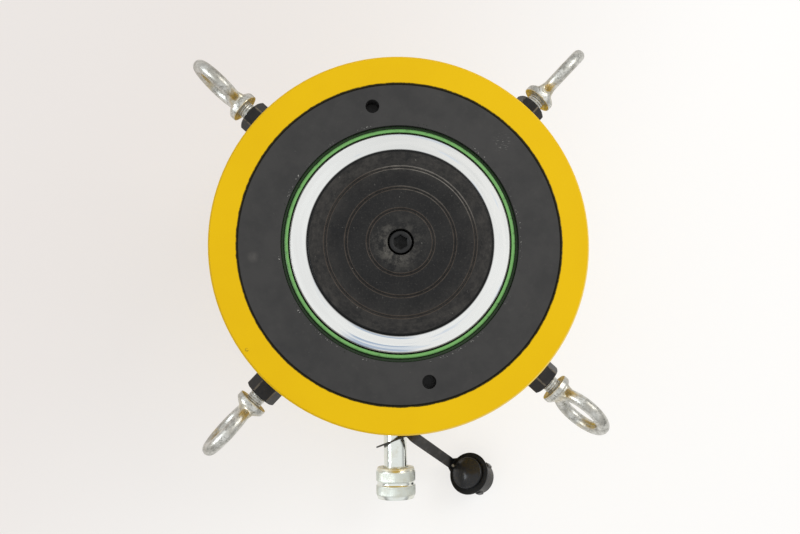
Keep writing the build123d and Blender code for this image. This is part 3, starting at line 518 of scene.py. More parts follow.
def bright_steel():
    steel = Finish("bright plunger", (0.86, 0.865, 0.86), 0.30, metallic=1.0)
    radius = steel.radius()
    steel.bump(steel.arcs(2400, 5, 3), 0.00002, 0.2)
    smear = steel.step(steel.arcs(260, 1.2, 4, 0.5), 0.40, 0.64)
    # Painted reflection: faint blue arcs across the chromed face.
    blue_reflection = steel.step(steel.arcs(330, 1.4, 3, 0.5), 0.60, 0.66)
    tone = steel.mixed(smear, (0.86, 0.865, 0.84), (0.77, 0.77, 0.75))
    # Painted shade: the chromed face is painted darker towards the back, +Y and +X.
    back = steel.step(steel.blend((steel.axis("Y"), 0.9), (steel.axis("X"), 0.45)), 0.01, 0.085)
    tone = steel.mixed(steel.math("MULTIPLY", back, 0.55), tone, (0.66, 0.66, 0.64))
    tone = steel.mixed(steel.math("MULTIPLY", blue_reflection, 0.6), tone, (0.56, 0.63, 0.72))
    # Painted reflection: a blue-grey streak near the lower left of the face.
    streak_reflection = steel.math("MULTIPLY", steel.spot(-0.018, -0.081, 0.034, 0.5), steel.step(steel.arcs(420, 1.0, 2, 0.4), 0.525, 0.575))
    tone = steel.mixed(steel.math("MULTIPLY", streak_reflection, 0.8), tone, (0.33, 0.42, 0.55))
    # Painted shadow: a dark ring on the chrome round the saddle's foot.
    contact_shadow = steel.step(radius, 0.0733, 0.0744, 1.0, 0.0)
    # Painted shade: darker at the chrome's outer edge, by the gap to the wiper.
    outer = steel.step(radius, 0.0859, 0.0866)
    tone = steel.mixed(steel.math("MULTIPLY", outer, 0.75), tone, (0.30, 0.28, 0.25))
    steel.colour(steel.mixed(contact_shadow, tone, (0.02, 0.02, 0.02)))
    steel.roughness(steel.step(smear, 0.0, 1.0, 0.24, 0.40))
    return steel.material


# %% [markdown]
# ## Zinc, galvanising and black steel
#
# The coupler is zinc plated: bright, slightly yellow where it has aged. The eye
# bolts are forged and dipped in molten zinc, so they are grey, lumpy and stained
# brown where water has sat. The nuts are plain black steel.

# %% Zinc and nuts


def zinc_plate():
    zinc = Finish("zinc plate", (0.80, 0.79, 0.745), 0.22, metallic=1.0)
    behind = zinc.axis("Y")
    age = zinc.step(zinc.noise(120, 5, 0.65), 0.42, 0.72)
    tone = zinc.mixed(age, (0.80, 0.83, 0.78), (0.72, 0.72, 0.63))
    # The rear bevel, which faces the yellow body, is tinted yellower in patches.
    rear = zinc.step(zinc.math("ABSOLUTE", zinc.math("ADD", behind, 0.1950)), 0.0004, 0.0034, 0.75, 0.0)
    rear_yellow = zinc.math("MULTIPLY", rear, zinc.step(zinc.noise(150, 4), 0.35, 0.6, 0.4, 1.0))
    tone = zinc.mixed(zinc.math("MULTIPLY", rear_yellow, 0.6), tone, (0.66, 0.58, 0.36))
    round_port = zinc.radius((0, 0, port_height), (1, 0, 1))
    knurled = zinc.step(round_port, 0.0179, 0.0182)
    zinc.colour(zinc.mixed(knurled, tone, zinc.mixed(age, (0.68, 0.71, 0.65), (0.60, 0.61, 0.53))))
    throat = zinc.math("MULTIPLY", zinc.step(behind, -0.1965, -0.1950), zinc.step(behind, -0.1936, -0.1930, 0.28, 0.0))
    rough = zinc.math("MAXIMUM", throat, zinc.math("MULTIPLY", knurled, 0.22))
    zinc.roughness(zinc.math("ADD", rough, zinc.step(zinc.noise(260, 4), 0.3, 0.7, 0.13, 0.25)))
    zinc.bump(zinc.noise(500, 3), 0.00001, 0.4)
    return zinc.material


def galvanised():
    zinc = Finish("galvanised forging", (0.60, 0.60, 0.58), 0.45, metallic=0.95)
    along, beside, above = zinc.bolt_place()
    cloud = zinc.step(zinc.noise(140, 6, 0.7), 0.38, 0.62)
    tone = zinc.mixed(cloud, (0.69, 0.685, 0.64), (0.47, 0.465, 0.425))
    dull = zinc.math("MULTIPLY", zinc.step(zinc.noise(55, 4, 0.6), 0.46, 0.62), zinc.step(along, 0.186, 0.196))
    tone = zinc.mixed(zinc.math("MULTIPLY", dull, 0.42), tone, (0.36, 0.33, 0.27))
    pit = zinc.step(zinc.noise(620, 6, 0.75, distortion=0.8), 0.50, 0.60)
    pit = zinc.math("MULTIPLY", pit, zinc.step(zinc.noise(120, 4, 0.6), 0.40, 0.58, 0.25, 1.0))
    tone = zinc.mixed(zinc.math("MULTIPLY", pit, 0.75), tone, (0.13, 0.125, 0.105))
    ragged = zinc.math("MULTIPLY", zinc.noise(190, 5, 0.65), 0.009)
    root = zinc.math("ADD", zinc.math("ABSOLUTE", zinc.math("SUBTRACT", along, 0.1795)), ragged)
    stain = zinc.step(root, 0.0040, 0.0100, 0.5, 0.0)
    under_collar = zinc.math("ABSOLUTE", zinc.math("SUBTRACT", along, 0.1711))
    seat = zinc.step(under_collar, 0.0004, 0.0013, 0.5, 0.0)
    seat = zinc.math("MULTIPLY", seat, zinc.step(zinc.noise(170, 4), 0.42, 0.56))
    low = zinc.step(above, -0.017, -0.008, 1.0, 0.0)
    far = zinc.math("ADD", zinc.math("ABSOLUTE", zinc.math("SUBTRACT", along, 0.2115)), ragged)
    inside = zinc.math("MULTIPLY", low, zinc.step(far, 0.0045, 0.0090, 0.65, 0.0))
    stain = zinc.math("MAXIMUM", stain, zinc.math("MAXIMUM", seat, inside))
    fleck = zinc.step(zinc.noise(330, 5, 0.7), 0.36, 0.56, 0.45, 1.0)
    zinc.colour(zinc.mixed(zinc.math("MULTIPLY", stain, fleck), tone, (0.57, 0.47, 0.25)))
    zinc.roughness(zinc.step(zinc.noise(300, 4), 0.3, 0.7, 0.30, 0.46))
    zinc.bump(zinc.noise(800, 6, 0.7), 0.00022, 0.5)
    zinc.bump(zinc.noise(190, 3), 0.0005, 0.22)
    return zinc.material


def nut_steel():
    steel = Finish("nut black steel", (0.012, 0.011, 0.011), 0.36, specular=0.25)
    along, beside, above = steel.bolt_place()
    cloud = steel.step(steel.noise(160, 5, 0.7), 0.4, 0.7)
    tone = steel.mixed(cloud, (0.0105, 0.0095, 0.0098), (0.021, 0.0185, 0.0175))
    chip = steel.step(steel.noise(420, 5, 0.75), 0.62, 0.69)
    tone = steel.mixed(steel.math("MULTIPLY", chip, 0.4), tone, (0.12, 0.10, 0.08))
    # Painted highlight: the hexagon's corners are painted lighter in patches, standing in for the thin light lines
    # along its edges.
    corner = steel.step(steel.distance(beside, above), 0.01335, 0.01355)
    corner = steel.math("MULTIPLY", corner, steel.step(steel.noise(210, 4, 0.7), 0.36, 0.52))
    steel.colour(steel.mixed(steel.math("MULTIPLY", corner, 0.55), tone, (0.22, 0.19, 0.15)))
    steel.bump(steel.noise(600, 4), 0.0001, 0.5)
    return steel.material


def screw_steel():
    steel = Finish("screw black steel", (0.010, 0.010, 0.010), 0.4, specular=0.28)
    # Painted shade: everything below the head's top, mainly the hexagon socket, is painted near-black.
    down = steel.step(steel.axis("Z"), 0.2085, 0.2110, 1.0, 0.0)
    steel.colour(steel.mixed(down, (0.0115, 0.0115, 0.0115), (0.0015, 0.0015, 0.0015)))
    socket = steel.math("MULTIPLY", steel.step(steel.radius(), 0.0056, 0.0060, 1.0, 0.0), 0.2)
    steel.roughness(steel.math("ADD", socket, steel.step(steel.noise(400, 4), 0.3, 0.7, 0.3, 0.5)))
    steel.bump(steel.noise(900, 4), 0.00005, 0.5)
    return steel.material


# %% [markdown]
# ## Seals, plastic and rubber
#
# The wiper is cast green polyurethane, a little translucent at its lip. The dust
# cap is glossy black plastic and its strap the same material with a satin skin.

# %% Seals and plastic


def green_seal():
    seal = Finish("green polyurethane", (0.15, 0.39, 0.10), 0.34, specular=0.35)
    radius = seal.radius()
    shade = seal.step(radius, 0.0891, 0.0904)
    tone = seal.mixed(shade, (0.165, 0.41, 0.115), (0.095, 0.26, 0.065))
    # Painted shade: a very dark green ring just outside the lip, in the outer groove.
    lip = seal.step(radius, 0.0903, 0.0909)
    tone = seal.mixed(lip, tone, (0.018, 0.046, 0.012))
    # Painted shade: the slot inside the lip is painted near-black.
    slot = seal.step(radius, 0.0877, 0.0881, 1.0, 0.0)
    tone = seal.mixed(slot, tone, (0.006, 0.014, 0.004))
    # Dark grime in patches, stronger outwards, where it also serves as painted shade in the outer groove.
    grime_and_shade = seal.math("MULTIPLY", seal.step(seal.noise(210, 6, 0.72), 0.50, 0.68), seal.step(radius, 0.0885, 0.0915, 0.25, 0.9))
    seal.colour(seal.mixed(grime_and_shade, tone, (0.018, 0.030, 0.013)))
    seal.bump(seal.noise(500, 3), 0.00006, 0.5)
    return seal.material


def guide_resin():
    resin = Finish("guide resin", (0.50, 0.42, 0.28), 0.55)
    fibre = resin.noise(1.0, 4, place=resin.stretched((300, 300, 1500)))
    resin.colour(resin.mixed(resin.step(fibre, 0.4, 0.6), (0.52, 0.44, 0.30), (0.42, 0.34, 0.22)))
    return resin.material


def cap_plastic():
    plastic = Finish("cap plastic", (0.012, 0.012, 0.013), 0.22, specular=0.24)
    up_slope = plastic.noise(330, 5, 0.7)
    dust = plastic.step(up_slope, 0.60, 0.72)
    # Painted sheen: the crown and, lighter still, the plug are painted lighter than the near-black rim of this one
    # black plastic.
    plug = plastic.step(plastic.axis("X"), 0.0795, 0.0835)
    out = plastic.blend((plastic.axis("X"), -0.5536), (plastic.axis("Y"), 0.2993), (plastic.axis("Z"), 0.7771))
    crown = plastic.step(out, -0.0772, -0.0764)
    tone = plastic.mixed(crown, (0.0030, 0.0030, 0.0034), (0.021, 0.0215, 0.0235))
    tone = plastic.mixed(plug, tone, (0.030, 0.029, 0.0275))
    plastic.colour(plastic.mixed(plastic.math("MULTIPLY", dust, 0.6), tone, (0.050, 0.046, 0.042)))
    plastic.roughness(plastic.step(plastic.noise(150, 4), 0.35, 0.7, 0.18, 0.30))
    plastic.bump(plastic.noise(240, 3), 0.00006, 0.4)
    return plastic.material


def strap_rubber():
    rubber = Finish("strap rubber", (0.026, 0.025, 0.025), 0.5, specular=0.18)
    rubbed = rubber.step(rubber.noise(130, 5, 0.7), 0.48, 0.72)
    tone = rubber.mixed(rubbed, (0.056, 0.054, 0.0515), (0.098, 0.093, 0.086))
    # Painted shade: the strap is painted near-black beyond X = 0.054, where it runs under the cap's head.
    under_head_shade = rubber.step(rubber.axis("X"), 0.052, 0.056)
    tone = rubber.mixed(under_head_shade, tone, (0.0040, 0.0040, 0.0043))
    # Painted highlight: a small light grey spot where the band meets the cap's loop, standing in for a glint.
    rubber.colour(rubber.mixed(rubber.spot(0.0580, -0.1988, 0.0016, 0.5), tone, (0.34, 0.32, 0.28)))
    rubber.roughness(rubber.step(rubber.noise(90, 4), 0.35, 0.7, 0.38, 0.58))
    rubber.bump(rubber.noise(500, 4), 0.00012, 0.5)
    return rubber.material


def plain_finish(name, colour, roughness, metallic):
    """A finish for pieces that the other pieces hide: faint mottling and a fine bump."""
    plain = Finish(name, colour, roughness, metallic=metallic)
    darker = tuple(0.8 * c for c in colour)
    plain.colour(plain.mixed(plain.step(plain.noise(150, 4), 0.4, 0.7), colour, darker))
    plain.bump(plain.noise(600, 3), 0.00004, 0.5)
    return plain.material


saddle_grooves = (0.0258, 0.0428, 0.0590)
finishes = {
    "body_paint": yellow_paint(),
    "black_oxide": black_oxide(),
    "saddle_steel": worn_saddle(),
    "bright_steel": bright_steel(),
    "zinc": zinc_plate(),
    "galvanised": galvanised(),
    "nut_steel": nut_steel(),
    "screw_steel": screw_steel(),
    "green_seal": green_seal(),
    "guide_resin": guide_resin(),
    "cap_plastic": cap_plastic(),
    "strap_rubber": strap_rubber(),
    "soft_washer": plain_finish("washer steel", (0.45, 0.42, 0.36), 0.45, 0.8),
    "soft_rubber": plain_finish("seal rubber", (0.02, 0.02, 0.02), 0.5, 0.0),
    "spring_steel": plain_finish("spring wire", (0.35, 0.35, 0.34), 0.35, 1.0),
}
print(len(finishes), "finishes")

# %% [markdown]
# ## Finishes on the CAD nodes
#
# The record says which slot each node belongs to. A node keeps its mesh; only
# the material in its slot changes.

# %% Give the nodes their finishes
slot_of = {entry["node"]: entry["material_slot"] for entry in frame["record"]["subparts"]}
for node, thing in frame["nodes"].items():
    thing.data.materials.clear()
    thing.data.materials.append(finishes[slot_of[node]])


def dress(piece, slot):
    """Give a new piece the finish of a slot."""
    piece.data.materials.append(finishes[slot])
    return piece


# %% [markdown]
# ## Wiper seal
#
# The wiper is a ring with a raised lip that leans on the plunger. It is turned
# here from a rounded profile: a dark slot on the inside, the crowned green lip,
# and a groove on the outside that drops to the seal's flat shoulder.

# %% Wiper seal
wiper_low, wiper_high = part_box("wiper_seal")
wiper_outer = 0.09365
lip_inner, lip_outer = 0.0876, 0.0908
lip_top = wiper_high.z
shoulder = lip_top - 0.0031
wiper_corners = [
    (0.0872, wiper_low.z), (wiper_outer, wiper_low.z), (wiper_outer, shoulder), (lip_outer + 0.0005, shoulder),
    (lip_outer, lip_top), (lip_inner, lip_top), (lip_inner, lip_top - 0.004), (0.08675, lip_top - 0.0048),
    (0.08675, lip_top - 0.006), (0.0872, lip_top - 0.007),
]
wiper_rounds = [0, 0.0003, 0.0004, 0.0006, 0.0013, 0.0011, 0.0002, 0.0002, 0.0002, 0]
wiper_profile = rounded(wiper_corners, wiper_rounds, steps=6)
wiper_mesh = turned_mesh("wiper_lip", wiper_profile, columns=360)
wiper = dress(add_piece("wiper_lip", wiper_mesh, "housing", ["wiper_seal"]), "green_seal")
print("wiper lip", len(wiper.data.polygons), "faces")

# %% [markdown]
# ## Saddle
#
# The saddle takes the load. Its top has three shallow turned grooves, which grip
# the load, and its rim has a small round that shines where it has been rubbed.
# The profile runs out from the screw's well, over the grooves and down the rim.

# %% Saddle
well_radius = 0.0104
shank_hole = 0.0066
groove_half, groove_depth = 0.0012, 0.0011
top = saddle_high.z
screw_seat = top - 0.0135
saddle_corners = [(shank_hole, saddle_low.z), (shank_hole, screw_seat), (well_radius, screw_seat), (well_radius, top)]
saddle_rounds = [0, 0, 0.0004, 0.0004]
for groove in saddle_grooves:
    saddle_corners += [
        (groove - groove_half, top), (groove - 0.4 * groove_half, top - groove_depth),
        (groove + 0.4 * groove_half, top - groove_depth), (groove + groove_half, top),
    ]
    saddle_rounds += [0.0003, 0.0004, 0.0004, 0.0003]
saddle_corners += [(saddle_radius, top), (saddle_radius, saddle_low.z)]
saddle_rounds += [0.0011, 0.0008]
saddle_mesh = turned_mesh("saddle_disc", rounded(saddle_corners, saddle_rounds, steps=5), columns=360)
saddle_piece = dress(add_piece("saddle_disc", saddle_mesh, "plunger", ["saddle"]), "saddle_steel")
saddle_mesh.set_sharp_from_angle(angle=radians(50))
print("saddle", len(saddle_mesh.polygons), "faces")

# %% [markdown]
# ## Saddle screw
#
# A socket head screw: a rounded cylinder with a finely knurled side and a
# hexagon socket. The socket's wall is a hexagon in plan, so its radius is the
# half-width over flats divided by the cosine of the angle from the nearest flat.
# A short cone leads into it, and a shallow cone closes its bottom.

# %% Saddle screw


def hexagon_radius(angle, flats):
    """Radius of a hexagon with the given width over flats: half the width / cos(angle from the flat)."""
    from_flat = (angle + pi / 6) % (pi / 3) - pi / 6
    return 0.5 * flats / np.cos(from_flat)


head_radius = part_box("saddle_screw")[1].x
head_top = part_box("saddle_screw")[1].z
head_bottom = head_top - 0.012
socket_flats = 0.010
socket_bottom = head_top - 0.006


def screw_points(columns=384, teeth=48):
    """Rows run from the thread's end up over the head and down into the socket.

    The side is head radius - depth x (1 - |sin|) for the knurl, and the socket's
    rows blend from a circle to the hexagon.
    """
    angle = np.linspace(0, 2 * pi, columns, endpoint=False)
    ones = np.ones(columns)
    knurl = head_radius - 0.00022 * (1 - np.abs(np.sin(angle * teeth / 2)))
    six = hexagon_radius(angle, socket_flats)
    chamfer = 0.5 * socket_flats / np.cos(pi / 6) + 0.0002
    rows = [
        (0 * ones, head_bottom - 0.030), (0.0055 * ones, head_bottom - 0.030), (0.006 * ones, head_bottom - 0.0295),
        (0.006 * ones, head_bottom), (head_radius * 0.97 * ones, head_bottom), (knurl, head_bottom + 0.0004),
        (knurl, head_top - 0.0016), (head_radius * ones - 0.0002, head_top - 0.0011),
        (head_radius * ones - 0.0006, head_top - 0.0003), (head_radius * ones - 0.0013, head_top),
        (chamfer * ones + 0.0002, head_top), (chamfer * ones, head_top - 0.0001), (six, head_top - 0.0008),
        (six, socket_bottom), (0.5 * six, socket_bottom - 0.0006), (0 * ones, socket_bottom - 0.0010),
    ]
    radius = np.stack([row[0] for row in rows])
    height = np.array([row[1] for row in rows])[:, None] * ones
    return np.stack([radius * np.cos(angle), radius * np.sin(angle), height], axis=-1)


screw_grid = screw_points()
screw_mesh = mesh_of("socket_screw", screw_grid.reshape(-1, 3), grid_faces(*screw_grid.shape[:2], False, True))
screw_piece = add_piece("socket_screw", screw_mesh, "plunger", ["saddle_screw"])
dress(screw_piece, "screw_steel")
screw_mesh.set_sharp_from_angle(angle=radians(32))
print("screw", len(screw_mesh.polygons), "faces, head top", round(head_top, 4))

# %% [markdown]
# ## Knurled collar
#
# The collar is turned by hand, so two bands of it carry a fine straight knurl,
# about one tooth each millimetre. The knurl is a ripple in the radius: a
# triangle wave round the axis, faded in and out along the axis by two smooth
# steps, so each band runs out cleanly at the bevels and at the middle groove.

# %% Knurled collar
collar_low, collar_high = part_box("coupler_collar")
collar_radius = collar_high.x
collar_start, collar_end = -collar_high.y, -collar_low.y
collar_length = collar_end - collar_start
port_origin = (0, 0, port_height)
port_out = (0, -1, 0)
bevel_length, bevel_depth = 0.0042, 0.0014
ring_groove_half, ring_groove_depth = 0.0022, 0.0010
socket_radius, socket_floor = 0.0159, collar_start + 0.01005
flange_pocket = 0.0136
wall_end = collar_start + 0.006
recess_radius, recess_floor = 0.0119, collar_start + 0.0022
bore = 0.01085
middle = 0.5 * (collar_start + collar_end)


def smooth_step(x, low, high):
    """3t^2 - 2t^3 between low and high, 0 before and 1 after."""
    t = np.clip((x - low) / (high - low), 0, 1)
    return t * t * (3 - 2 * t)


def knurled_collar(columns=672, teeth=112, depth=0.00024):
    """Turned profile whose outer rows have the knurl's ripple taken off their radius."""
    corners = [
        (bore, recess_floor), (recess_radius, recess_floor), (recess_radius, collar_start),
        (collar_radius - bevel_depth, collar_start), (collar_radius, collar_start + bevel_length),
        (collar_radius, middle - ring_groove_half),
        (collar_radius - ring_groove_depth, middle - 0.5 * ring_groove_half),
        (collar_radius - ring_groove_depth, middle + 0.5 * ring_groove_half),
        (collar_radius, middle + ring_groove_half), (collar_radius, collar_end - bevel_length),
        (collar_radius - bevel_depth, collar_end), (socket_radius + 0.0006, collar_end),
        (socket_radius, collar_end - 0.0006), (socket_radius, socket_floor), (flange_pocket, socket_floor),
        (flange_pocket, wall_end), (bore, wall_end),
    ]
    rounds = [0, 0, 0.0003, 0.0005, 0.0005, 0.0004, 0.0005, 0.0005, 0.0004, 0.0005, 0.0006, 0.0002, 0.0002, 0, 0, 0, 0]
    profile = rounded(corners, rounds, steps=4)
    points = turned_points(profile, port_origin, port_out, (1, 0, 0), columns)
    angle = np.linspace(0, 2 * pi, columns, endpoint=False)
    wave = np.abs((angle * teeth / (2 * pi)) % 1 - 0.5) * 2
    along = profile[:, 1]
    band = smooth_step(along, collar_start + 0.8 * bevel_length, collar_start + 1.25 * bevel_length)
    band = band * smooth_step(-along, -collar_end + 0.8 * bevel_length, -collar_end + 1.25 * bevel_length)
    band = band * smooth_step(np.abs(along - middle), ring_groove_half * 0.95, ring_groove_half * 1.3)
    band = band * (profile[:, 0] > collar_radius - 0.0004)
    cut = depth * band[:, None] * wave
    outwards = points - (np.asarray(port_origin) + profile[:, None, 1:] * np.asarray(port_out))
    outwards = outwards / np.linalg.norm(outwards, axis=-1, keepdims=True)
    return points - cut[..., None] * outwards


collar_grid = knurled_collar()
collar_mesh = mesh_of("knurled_collar", collar_grid.reshape(-1, 3), grid_faces(*collar_grid.shape[:2], True, True))
collar_piece = dress(add_piece("knurled_collar", collar_mesh, "coupler_collar", ["coupler_collar"]), "zinc")
collar_mesh.set_sharp_from_angle(angle=radians(38))
print("collar", len(collar_mesh.polygons), "faces, from", round(collar_start, 4), "to", round(collar_end, 4))

# %% [markdown]
# ## Dust cap
#
# The cap is a hollow plug with a crowned head, moulded in one piece. Its axis
# leans, because the cap lies on the floor on its lowest lug. The head's crown is
# an arc of a circle, and the three lugs are places where the plug's radius
# grows: a window in the angle times a window along the axis.

# %% Dust cap
cap_tilt, cap_azimuth = radians(39.0), radians(-28.4)
cap_level = np.array([np.cos(cap_azimuth), np.sin(cap_azimuth), 0])
cap_axis = -np.sin(cap_tilt) * cap_level + np.array([0, 0, np.cos(cap_tilt)])
cap_slope = np.cos(cap_tilt) * cap_level + np.array([0, 0, np.sin(cap_tilt)])
plug_radius, plug_length, plug_wall = 0.0158, 0.022, 0.0028
lug_height, lug_width, lug_length, lug_setback = 0.0016, 0.005, 0.009, 0.0015
cap_height = 0.0003 + plug_length * np.cos(cap_tilt) + (plug_radius + lug_height) * np.sin(cap_tilt)
cap_centre = np.array([0.0728, -0.2056, cap_height])
neck_radius, head_radius_cap = 0.0119, 0.0151
head_floor, head_height, crown = 0.0028, 0.0028, 0.0052
lug_angles = np.radians([70.0, 190.0, 310.0])


def cap_profile():
    """Outline of the cap from the middle of its crown, down the outside and up the inside."""
    sphere = (head_radius_cap**2 + crown**2) / (2 * crown)
    r = np.linspace(0, head_radius_cap - 0.0012, 14)
    dome = np.stack([r, head_floor + head_height + crown - sphere + np.sqrt(sphere**2 - r**2)], axis=1)
    edge_top = dome[-1]
    turn = np.linspace(0, pi / 2, 7)[1:, None]
    centre = np.array([head_radius_cap - 0.0012, edge_top[1] - 0.0012])
    edge = centre + 0.0012 * np.hstack([np.sin(turn), np.cos(turn)])
    lug_rows = np.linspace(-plug_length + 0.0008, -0.0006, 40)
    side = np.stack([np.full(40, plug_radius), lug_rows[::-1]], axis=1)
    rest = [
        (head_radius_cap, head_floor + 0.0005), (head_radius_cap - 0.0005, head_floor), (neck_radius, head_floor),
        (neck_radius, 0), (plug_radius - 0.0006, 0),
    ]
    end = [
        (plug_radius - 0.0004, -plug_length), (plug_radius - plug_wall + 0.0004, -plug_length),
        (plug_radius - plug_wall, -plug_length + 0.0004), (plug_radius - plug_wall, -plug_wall - 0.001),
        (plug_radius - plug_wall - 0.001, -plug_wall), (0, -plug_wall),
    ]
    return np.concatenate([dome, edge, rest, side, end])


cap_lines = cap_profile()
cap_columns = 288
cap_points = turned_points(cap_lines, cap_centre, cap_axis, cap_slope, cap_columns)
cap_angle = np.linspace(0, 2 * pi, cap_columns, endpoint=False)
away = np.abs((cap_angle[:, None] - lug_angles + pi) % (2 * pi) - pi).min(axis=1) * plug_radius
lug_round = 1 - smooth_step(away, 0.5 * lug_width - 0.0004, 0.5 * lug_width + 0.0003)
lug_from, lug_to = -plug_length + lug_setback, -plug_length + lug_setback + lug_length
lug_along = smooth_step(cap_lines[:, 1], lug_from, lug_from + 0.0009)
lug_along = lug_along * (1 - smooth_step(cap_lines[:, 1], lug_to - 0.0016, lug_to))
lug_along = lug_along * (cap_lines[:, 0] >= plug_radius - 1e-6)
cap_middle = cap_centre + cap_lines[:, None, 1:] * cap_axis
cap_outwards = cap_points - cap_middle
cap_outwards = cap_outwards / np.maximum(np.linalg.norm(cap_outwards, axis=-1, keepdims=True), 1e-9)
cap_points = cap_points + (lug_height * lug_along[:, None] * lug_round)[..., None] * cap_outwards
cap_mesh = mesh_of("moulded_cap", cap_points.reshape(-1, 3), grid_faces(len(cap_lines), cap_columns, False, True))
cap_piece = dress(add_piece("moulded_cap", cap_mesh, "dust_cap", ["dust_cap"]), "cap_plastic")
cap_mesh.set_sharp_from_angle(angle=radians(40))
print("cap", len(cap_mesh.polygons), "faces, centre", cap_centre.round(4))

# %% [markdown]
# ## Strap
#
# The strap is moulded rubber, so it has no sharp edges, and its band flows into
# its two loops. The CAD strap has the right shape with crisp edges. A copy of it
# is remeshed into small even faces and then smoothed: smoothing pulls edges
# round and fills inner corners, as a mould does.

# %% Strap


def softened_copy(node, name, voxel, factor, repeats):
    """Copy of a CAD node with merged vertices, remeshed to small even faces and smoothed."""
    source = frame["nodes"][node]
    copy = bpy.data.objects.new(name, source.data.copy())
    bpy.context.scene.collection.objects.link(copy)
    edit = bmesh.new()
    edit.from_mesh(copy.data)
    bmesh.ops.remove_doubles(edit, verts=edit.verts, dist=1e-6)
    edit.to_mesh(copy.data)
    edit.free()
    return remeshed(copy, name, voxel, factor, repeats)


def remeshed(thing, name, voxel, factor, repeats):
    """The object's surface remeshed by a voxel grid and smoothed, as a new mesh; the object is removed."""
    remesh = thing.modifiers.new("even_faces", "REMESH")
    remesh.mode = "VOXEL"
    remesh.voxel_size = voxel
    smooth = thing.modifiers.new("soft_edges", "SMOOTH")
    smooth.factor = factor
    smooth.iterations = repeats
    bpy.context.view_layer.update()
    evaluated = thing.evaluated_get(bpy.context.evaluated_depsgraph_get())
    mesh = bpy.data.meshes.new_from_object(evaluated)
    mesh.name = name
    bpy.data.objects.remove(thing)
    mesh.materials.clear()
    return mesh


strap_mesh = softened_copy("cap_strap", "moulded_strap", 0.00035, 0.5, 5)
strap_piece = dress(add_piece("moulded_strap", strap_mesh, "cap_strap", ["cap_strap"]), "strap_rubber")
print("strap", len(strap_mesh.polygons), "faces")

# %% [markdown]
# ## Eye bolts
#
# An eye bolt is forged: the ring flows into its root and the root into the
# collar, with no edge between them. Each part is an easy surface by itself, a
# torus, a flattened root and a turned collar. Remeshing melts the three into one
# skin and smoothing leaves the soft inner corners of a forging. The thread is a
# separate surface with a spiral ripple, which stays crisp.

# %% Eye bolts
nut_face = 0.1492 + 0.0148
eye_seat = nut_face + 0.0066
ring_centre = eye_seat + 0.0302
ring_section = 0.0051
ring_middle = 0.02095
eye_collar_radius, eye_collar_height, eye_dome = 0.0127, 0.0050, 0.0042
bolt_tip = 0.133
eye_bolts = {
    "front_right": (bolt_turn - bolt_spread, 12.0),
    "back_right": (bolt_turn + bolt_spread, -2.0),
    "back_left": (bolt_turn - bolt_spread + 180, -2.0),
    "front_left": (bolt_turn + bolt_spread + 180, 9.0),
}


def side_frame(azimuth, lean):
    """Outward, upward and sideways directions of a bolt, with up leaning by an angle."""
    a, b = radians(azimuth), radians(lean)
    out = np.array([np.cos(a), np.sin(a), 0])
    aside = np.array([-np.sin(a), np.cos(a), 0])
    upwards = aside * np.sin(b) + np.array([0, 0, np.cos(b)])
    return out, upwards, np.cross(out, upwards)


def torus_points(out, upwards, across, centre, columns=160, rows=48):
    """Points of the ring: centre + (R + s r cos v) round a circle + r sin v across."""
    u = np.linspace(0, 2 * pi, columns, endpoint=False)[None, :]
    v = np.linspace(0, 2 * pi, rows, endpoint=False)[:, None]
    flat = ring_middle + ring_section * np.cos(v)
    side = ring_section * np.sin(v) * np.ones_like(u)
    return (
        centre
        + (flat * np.cos(u))[..., None] * out
        + (flat * np.sin(u))[..., None] * upwards
        + side[..., None] * across
    )


def squared(wave):
    """Sign times the square root of the size: turns a circle's wave into a rounded square's."""
    return np.sign(wave) * np.sqrt(np.abs(wave))


def root_points(out, upwards, across, origin, rows=24, columns=64):
    """Root: rounded squares whose width grows and depth shrinks from the collar to the ring."""
    s = np.linspace(0, 1, rows)[:, None]
    angle = np.linspace(0, 2 * pi, columns, endpoint=False)[None, :]
    start = eye_seat + eye_collar_height - 0.0004
    reach = start + s * (ring_centre - ring_middle + ring_section - 0.0014 - start)
    width = 0.0112 + 0.0040 * s
    depth = 0.0084 - 0.0030 * s**0.7
    inner = (
        origin
        + (reach * np.ones_like(angle))[..., None] * out
        + (width * squared(np.cos(angle)))[..., None] * upwards
        + (depth * squared(np.sin(angle)))[..., None] * across
    )
    first = origin + reach[0, 0] * out + np.zeros((1, columns, 3))
    last = origin + reach[-1, 0] * out + np.zeros((1, columns, 3))
    return np.concatenate([first, inner, last])


def thread_points(out, upwards, origin, columns=96, turns_per_row=14):
    """Threaded shank: the radius is a triangle wave of (distance / pitch - angle / full turn)."""
    pitch, crest, depth = 0.002, 0.0078, 0.0010
    along = np.arange(bolt_tip, eye_seat + 0.001, pitch / turns_per_row)
    angle = np.linspace(0, 2 * pi, columns, endpoint=False)
    phase = (along[:, None] / pitch - angle[None, :] / (2 * pi)) % 1
    radius = crest - depth * np.abs(2 * phase - 1)
    waist = smooth_step(along, nut_face + 0.0005, nut_face + 0.0022)[:, None]
    radius = radius * (1 - waist) + waist * (0.0067 + 0.25 * (radius - crest + 0.5 * depth))
    across = np.cross(out, upwards)
    ring = np.cos(angle)[:, None] * upwards + np.sin(angle)[:, None] * across
    points = origin + along[:, None, None] * out + radius[..., None] * ring[None]
    first = origin + along[0] * out + np.zeros((1, columns, 3))
    last = origin + along[-1] * out + np.zeros((1, columns, 3))
    return np.concatenate([first, points, last])


